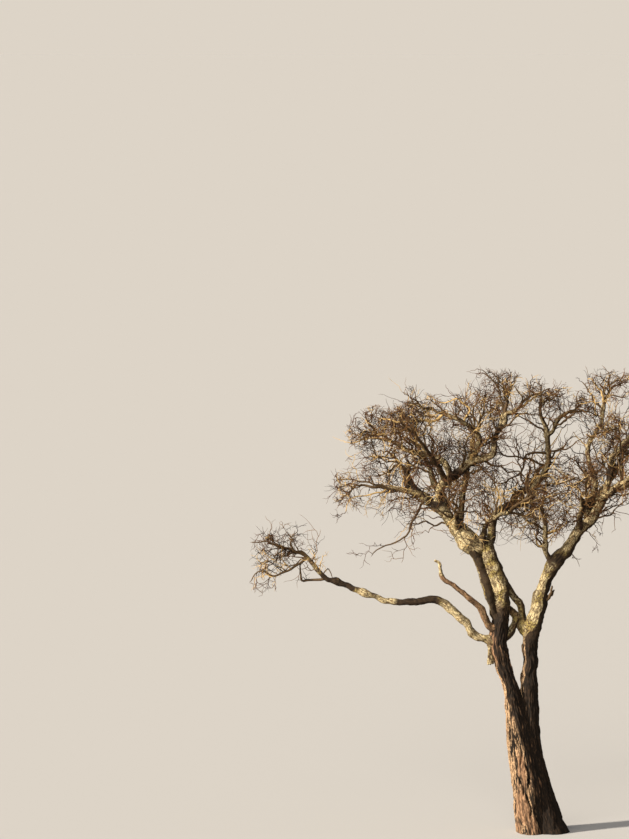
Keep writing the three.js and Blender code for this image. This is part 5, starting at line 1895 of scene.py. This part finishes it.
@dataclass(frozen=True)
class Studio:
    """A plain pale floor, a low warm key, a softer lamp beside the camera, even fill, and the camera."""

    floor_colour: str = "#c5c6c8"
    floor_bounce: str = "#8c8479"  # what the floor sends back to the tree, so that its shadows stay deep
    floor_size: float = 60000.0
    lamps: tuple[Lamp, ...] = (Lamp("key", 7.5, 4.0, (-0.83, -0.42, 0.37)),
                               Lamp("soft", 1.8, 50.0, (-0.3, -0.85, 0.4)))
    lamp_colour: str = "#fff1dc"
    fill_colour: str = "#f4f6fb"
    fill: float = 0.2
    lens: float = 200.0
    sensor: float = 36.0
    elevation: float = 4.5  # degrees that the camera looks down

    @staticmethod
    def emptied(owner: ID) -> NodeTree:
        """The node tree of a material or a world, with nothing in it."""
        owner.use_nodes = True
        owner.node_tree.nodes.clear()
        return owner.node_tree

    @staticmethod
    def seen_apart(tree: NodeTree, output: str, others: Node, camera: Node) -> None:
        """Ends a node tree so that the camera sees one shader, and everything else another."""
        seen = add_node(tree, "ShaderNodeLightPath").outputs["Is Camera Ray"]
        both = add_node(tree, "ShaderNodeMixShader", links={
            0: seen, 1: others.outputs[0], 2: camera.outputs[0]})
        add_node(tree, output, links={"Surface": both.outputs[0]})

    def floor(self) -> None:
        """The floor: one square sheet, level with the ground mount."""
        half = self.floor_size / 2
        corners = [(-half, -half, 0), (half, -half, 0), (half, half, 0), (-half, half, 0)]
        mesh = bpy.data.meshes.new("floor")
        mesh.from_pydata(corners, [], [(0, 1, 2, 3)])
        material = bpy.data.materials.new("matt_studio_floor")
        tree = self.emptied(material)
        bounce, shown = (add_node(tree, "ShaderNodeBsdfDiffuse", {"Color": linear(colour)})
                         for colour in (self.floor_bounce, self.floor_colour))
        self.seen_apart(tree, "ShaderNodeOutputMaterial", bounce, shown)
        mesh.materials.append(material)
        floor = placed("floor", mesh)

    def shine(self, lamp: Lamp) -> None:
        """Sets up one lamp."""
        light = bpy.data.lights.new(lamp.name, "SUN")
        light.energy = lamp.strength
        light.angle = math.radians(lamp.angle)
        light.color = linear(self.lamp_colour)[:3]
        self.turned(placed(lamp.name, light), Vector(lamp.source), "Z")

    @staticmethod
    def turned(piece: Object, way: Vector, axis: str) -> None:
        """Turns an object so that one of its axes points a way, with its Y axis up."""
        piece.rotation_mode = "QUATERNION"
        piece.rotation_quaternion = way.to_track_quat(axis, "Y")

    def horizon(self) -> Colour:
        """The floor's own brightness, so that no line shows behind it.

        It is the floor's colour times the lamps' light on a level sheet over pi, with the fill added.
        """
        lamps = sum(lamp.strength * unit(np.array(lamp.source))[2] / math.pi for lamp in self.lamps)
        lit = lamps * np.array(linear(self.lamp_colour)) + self.fill * np.array(linear(self.fill_colour))
        return (*(lit * np.array(linear(self.floor_colour)))[:3], 1.0)

    def light(self) -> None:
        """The lamps, and a world that fills evenly and shows the floor's own tone."""
        for lamp in self.lamps:
            self.shine(lamp)
        world = bpy.data.worlds.new("studio")
        tree = self.emptied(world)
        fill = add_node(tree, "ShaderNodeBackground", {
            "Color": linear(self.fill_colour), "Strength": self.fill})
        shown = add_node(tree, "ShaderNodeBackground", {"Color": self.horizon()})
        self.seen_apart(tree, "ShaderNodeOutputWorld", fill, shown)
        bpy.context.scene.world = world

    def camera(self) -> None:
        """The camera: a long lens far off, so that one scale holds all over the tree."""
        right = (PHOTO_WIDTH / 2 - FOOT_PIXEL[0]) * PIXEL_SIZE * METRES
        up = (FOOT_PIXEL[1] - PHOTO_HEIGHT / 2) * PIXEL_SIZE * METRES
        distance = PHOTO_HEIGHT * PIXEL_SIZE * METRES * self.lens / self.sensor
        tilt = math.radians(self.elevation)
        back = Vector((0, -math.cos(tilt), math.sin(tilt)))
        data = bpy.data.cameras.new("camera")
        data.lens, data.sensor_width = self.lens, self.sensor
        data.clip_end = 2 * self.floor_size
        camera = placed("camera", data)
        camera.location = Vector((right, 0, up)) + back * distance
        self.turned(camera, -back, "-Z")
        bpy.context.scene.camera = camera

    def build(self) -> None:
        """Sets up floor, light, camera and a plain colour transform."""
        self.floor()
        self.light()
        self.camera()
        bpy.context.scene.view_settings.view_transform = "Standard"


def main() -> None:
    """Builds the tree in order, logging its limbs, runs and triangles."""
    logging.basicConfig(level=logging.INFO, format="%(name)s: %(message)s")
    skeleton = Skeleton()
    log.info("skeleton: %d limbs in %d runs", len(skeleton.axes), len(skeleton.runs()))
    furrowed = BarkFinish("furrowed_acacia_bark").material()
    pale = BarkFinish("lichened_limb_bark").material()
    BarkSkin(skeleton).build(furrowed, pale)
    Crown(skeleton).build([TWIG_FINISHES[tone].material() for tone in Tone])
    Studio().build()


if __name__ == "__main__":
    main()
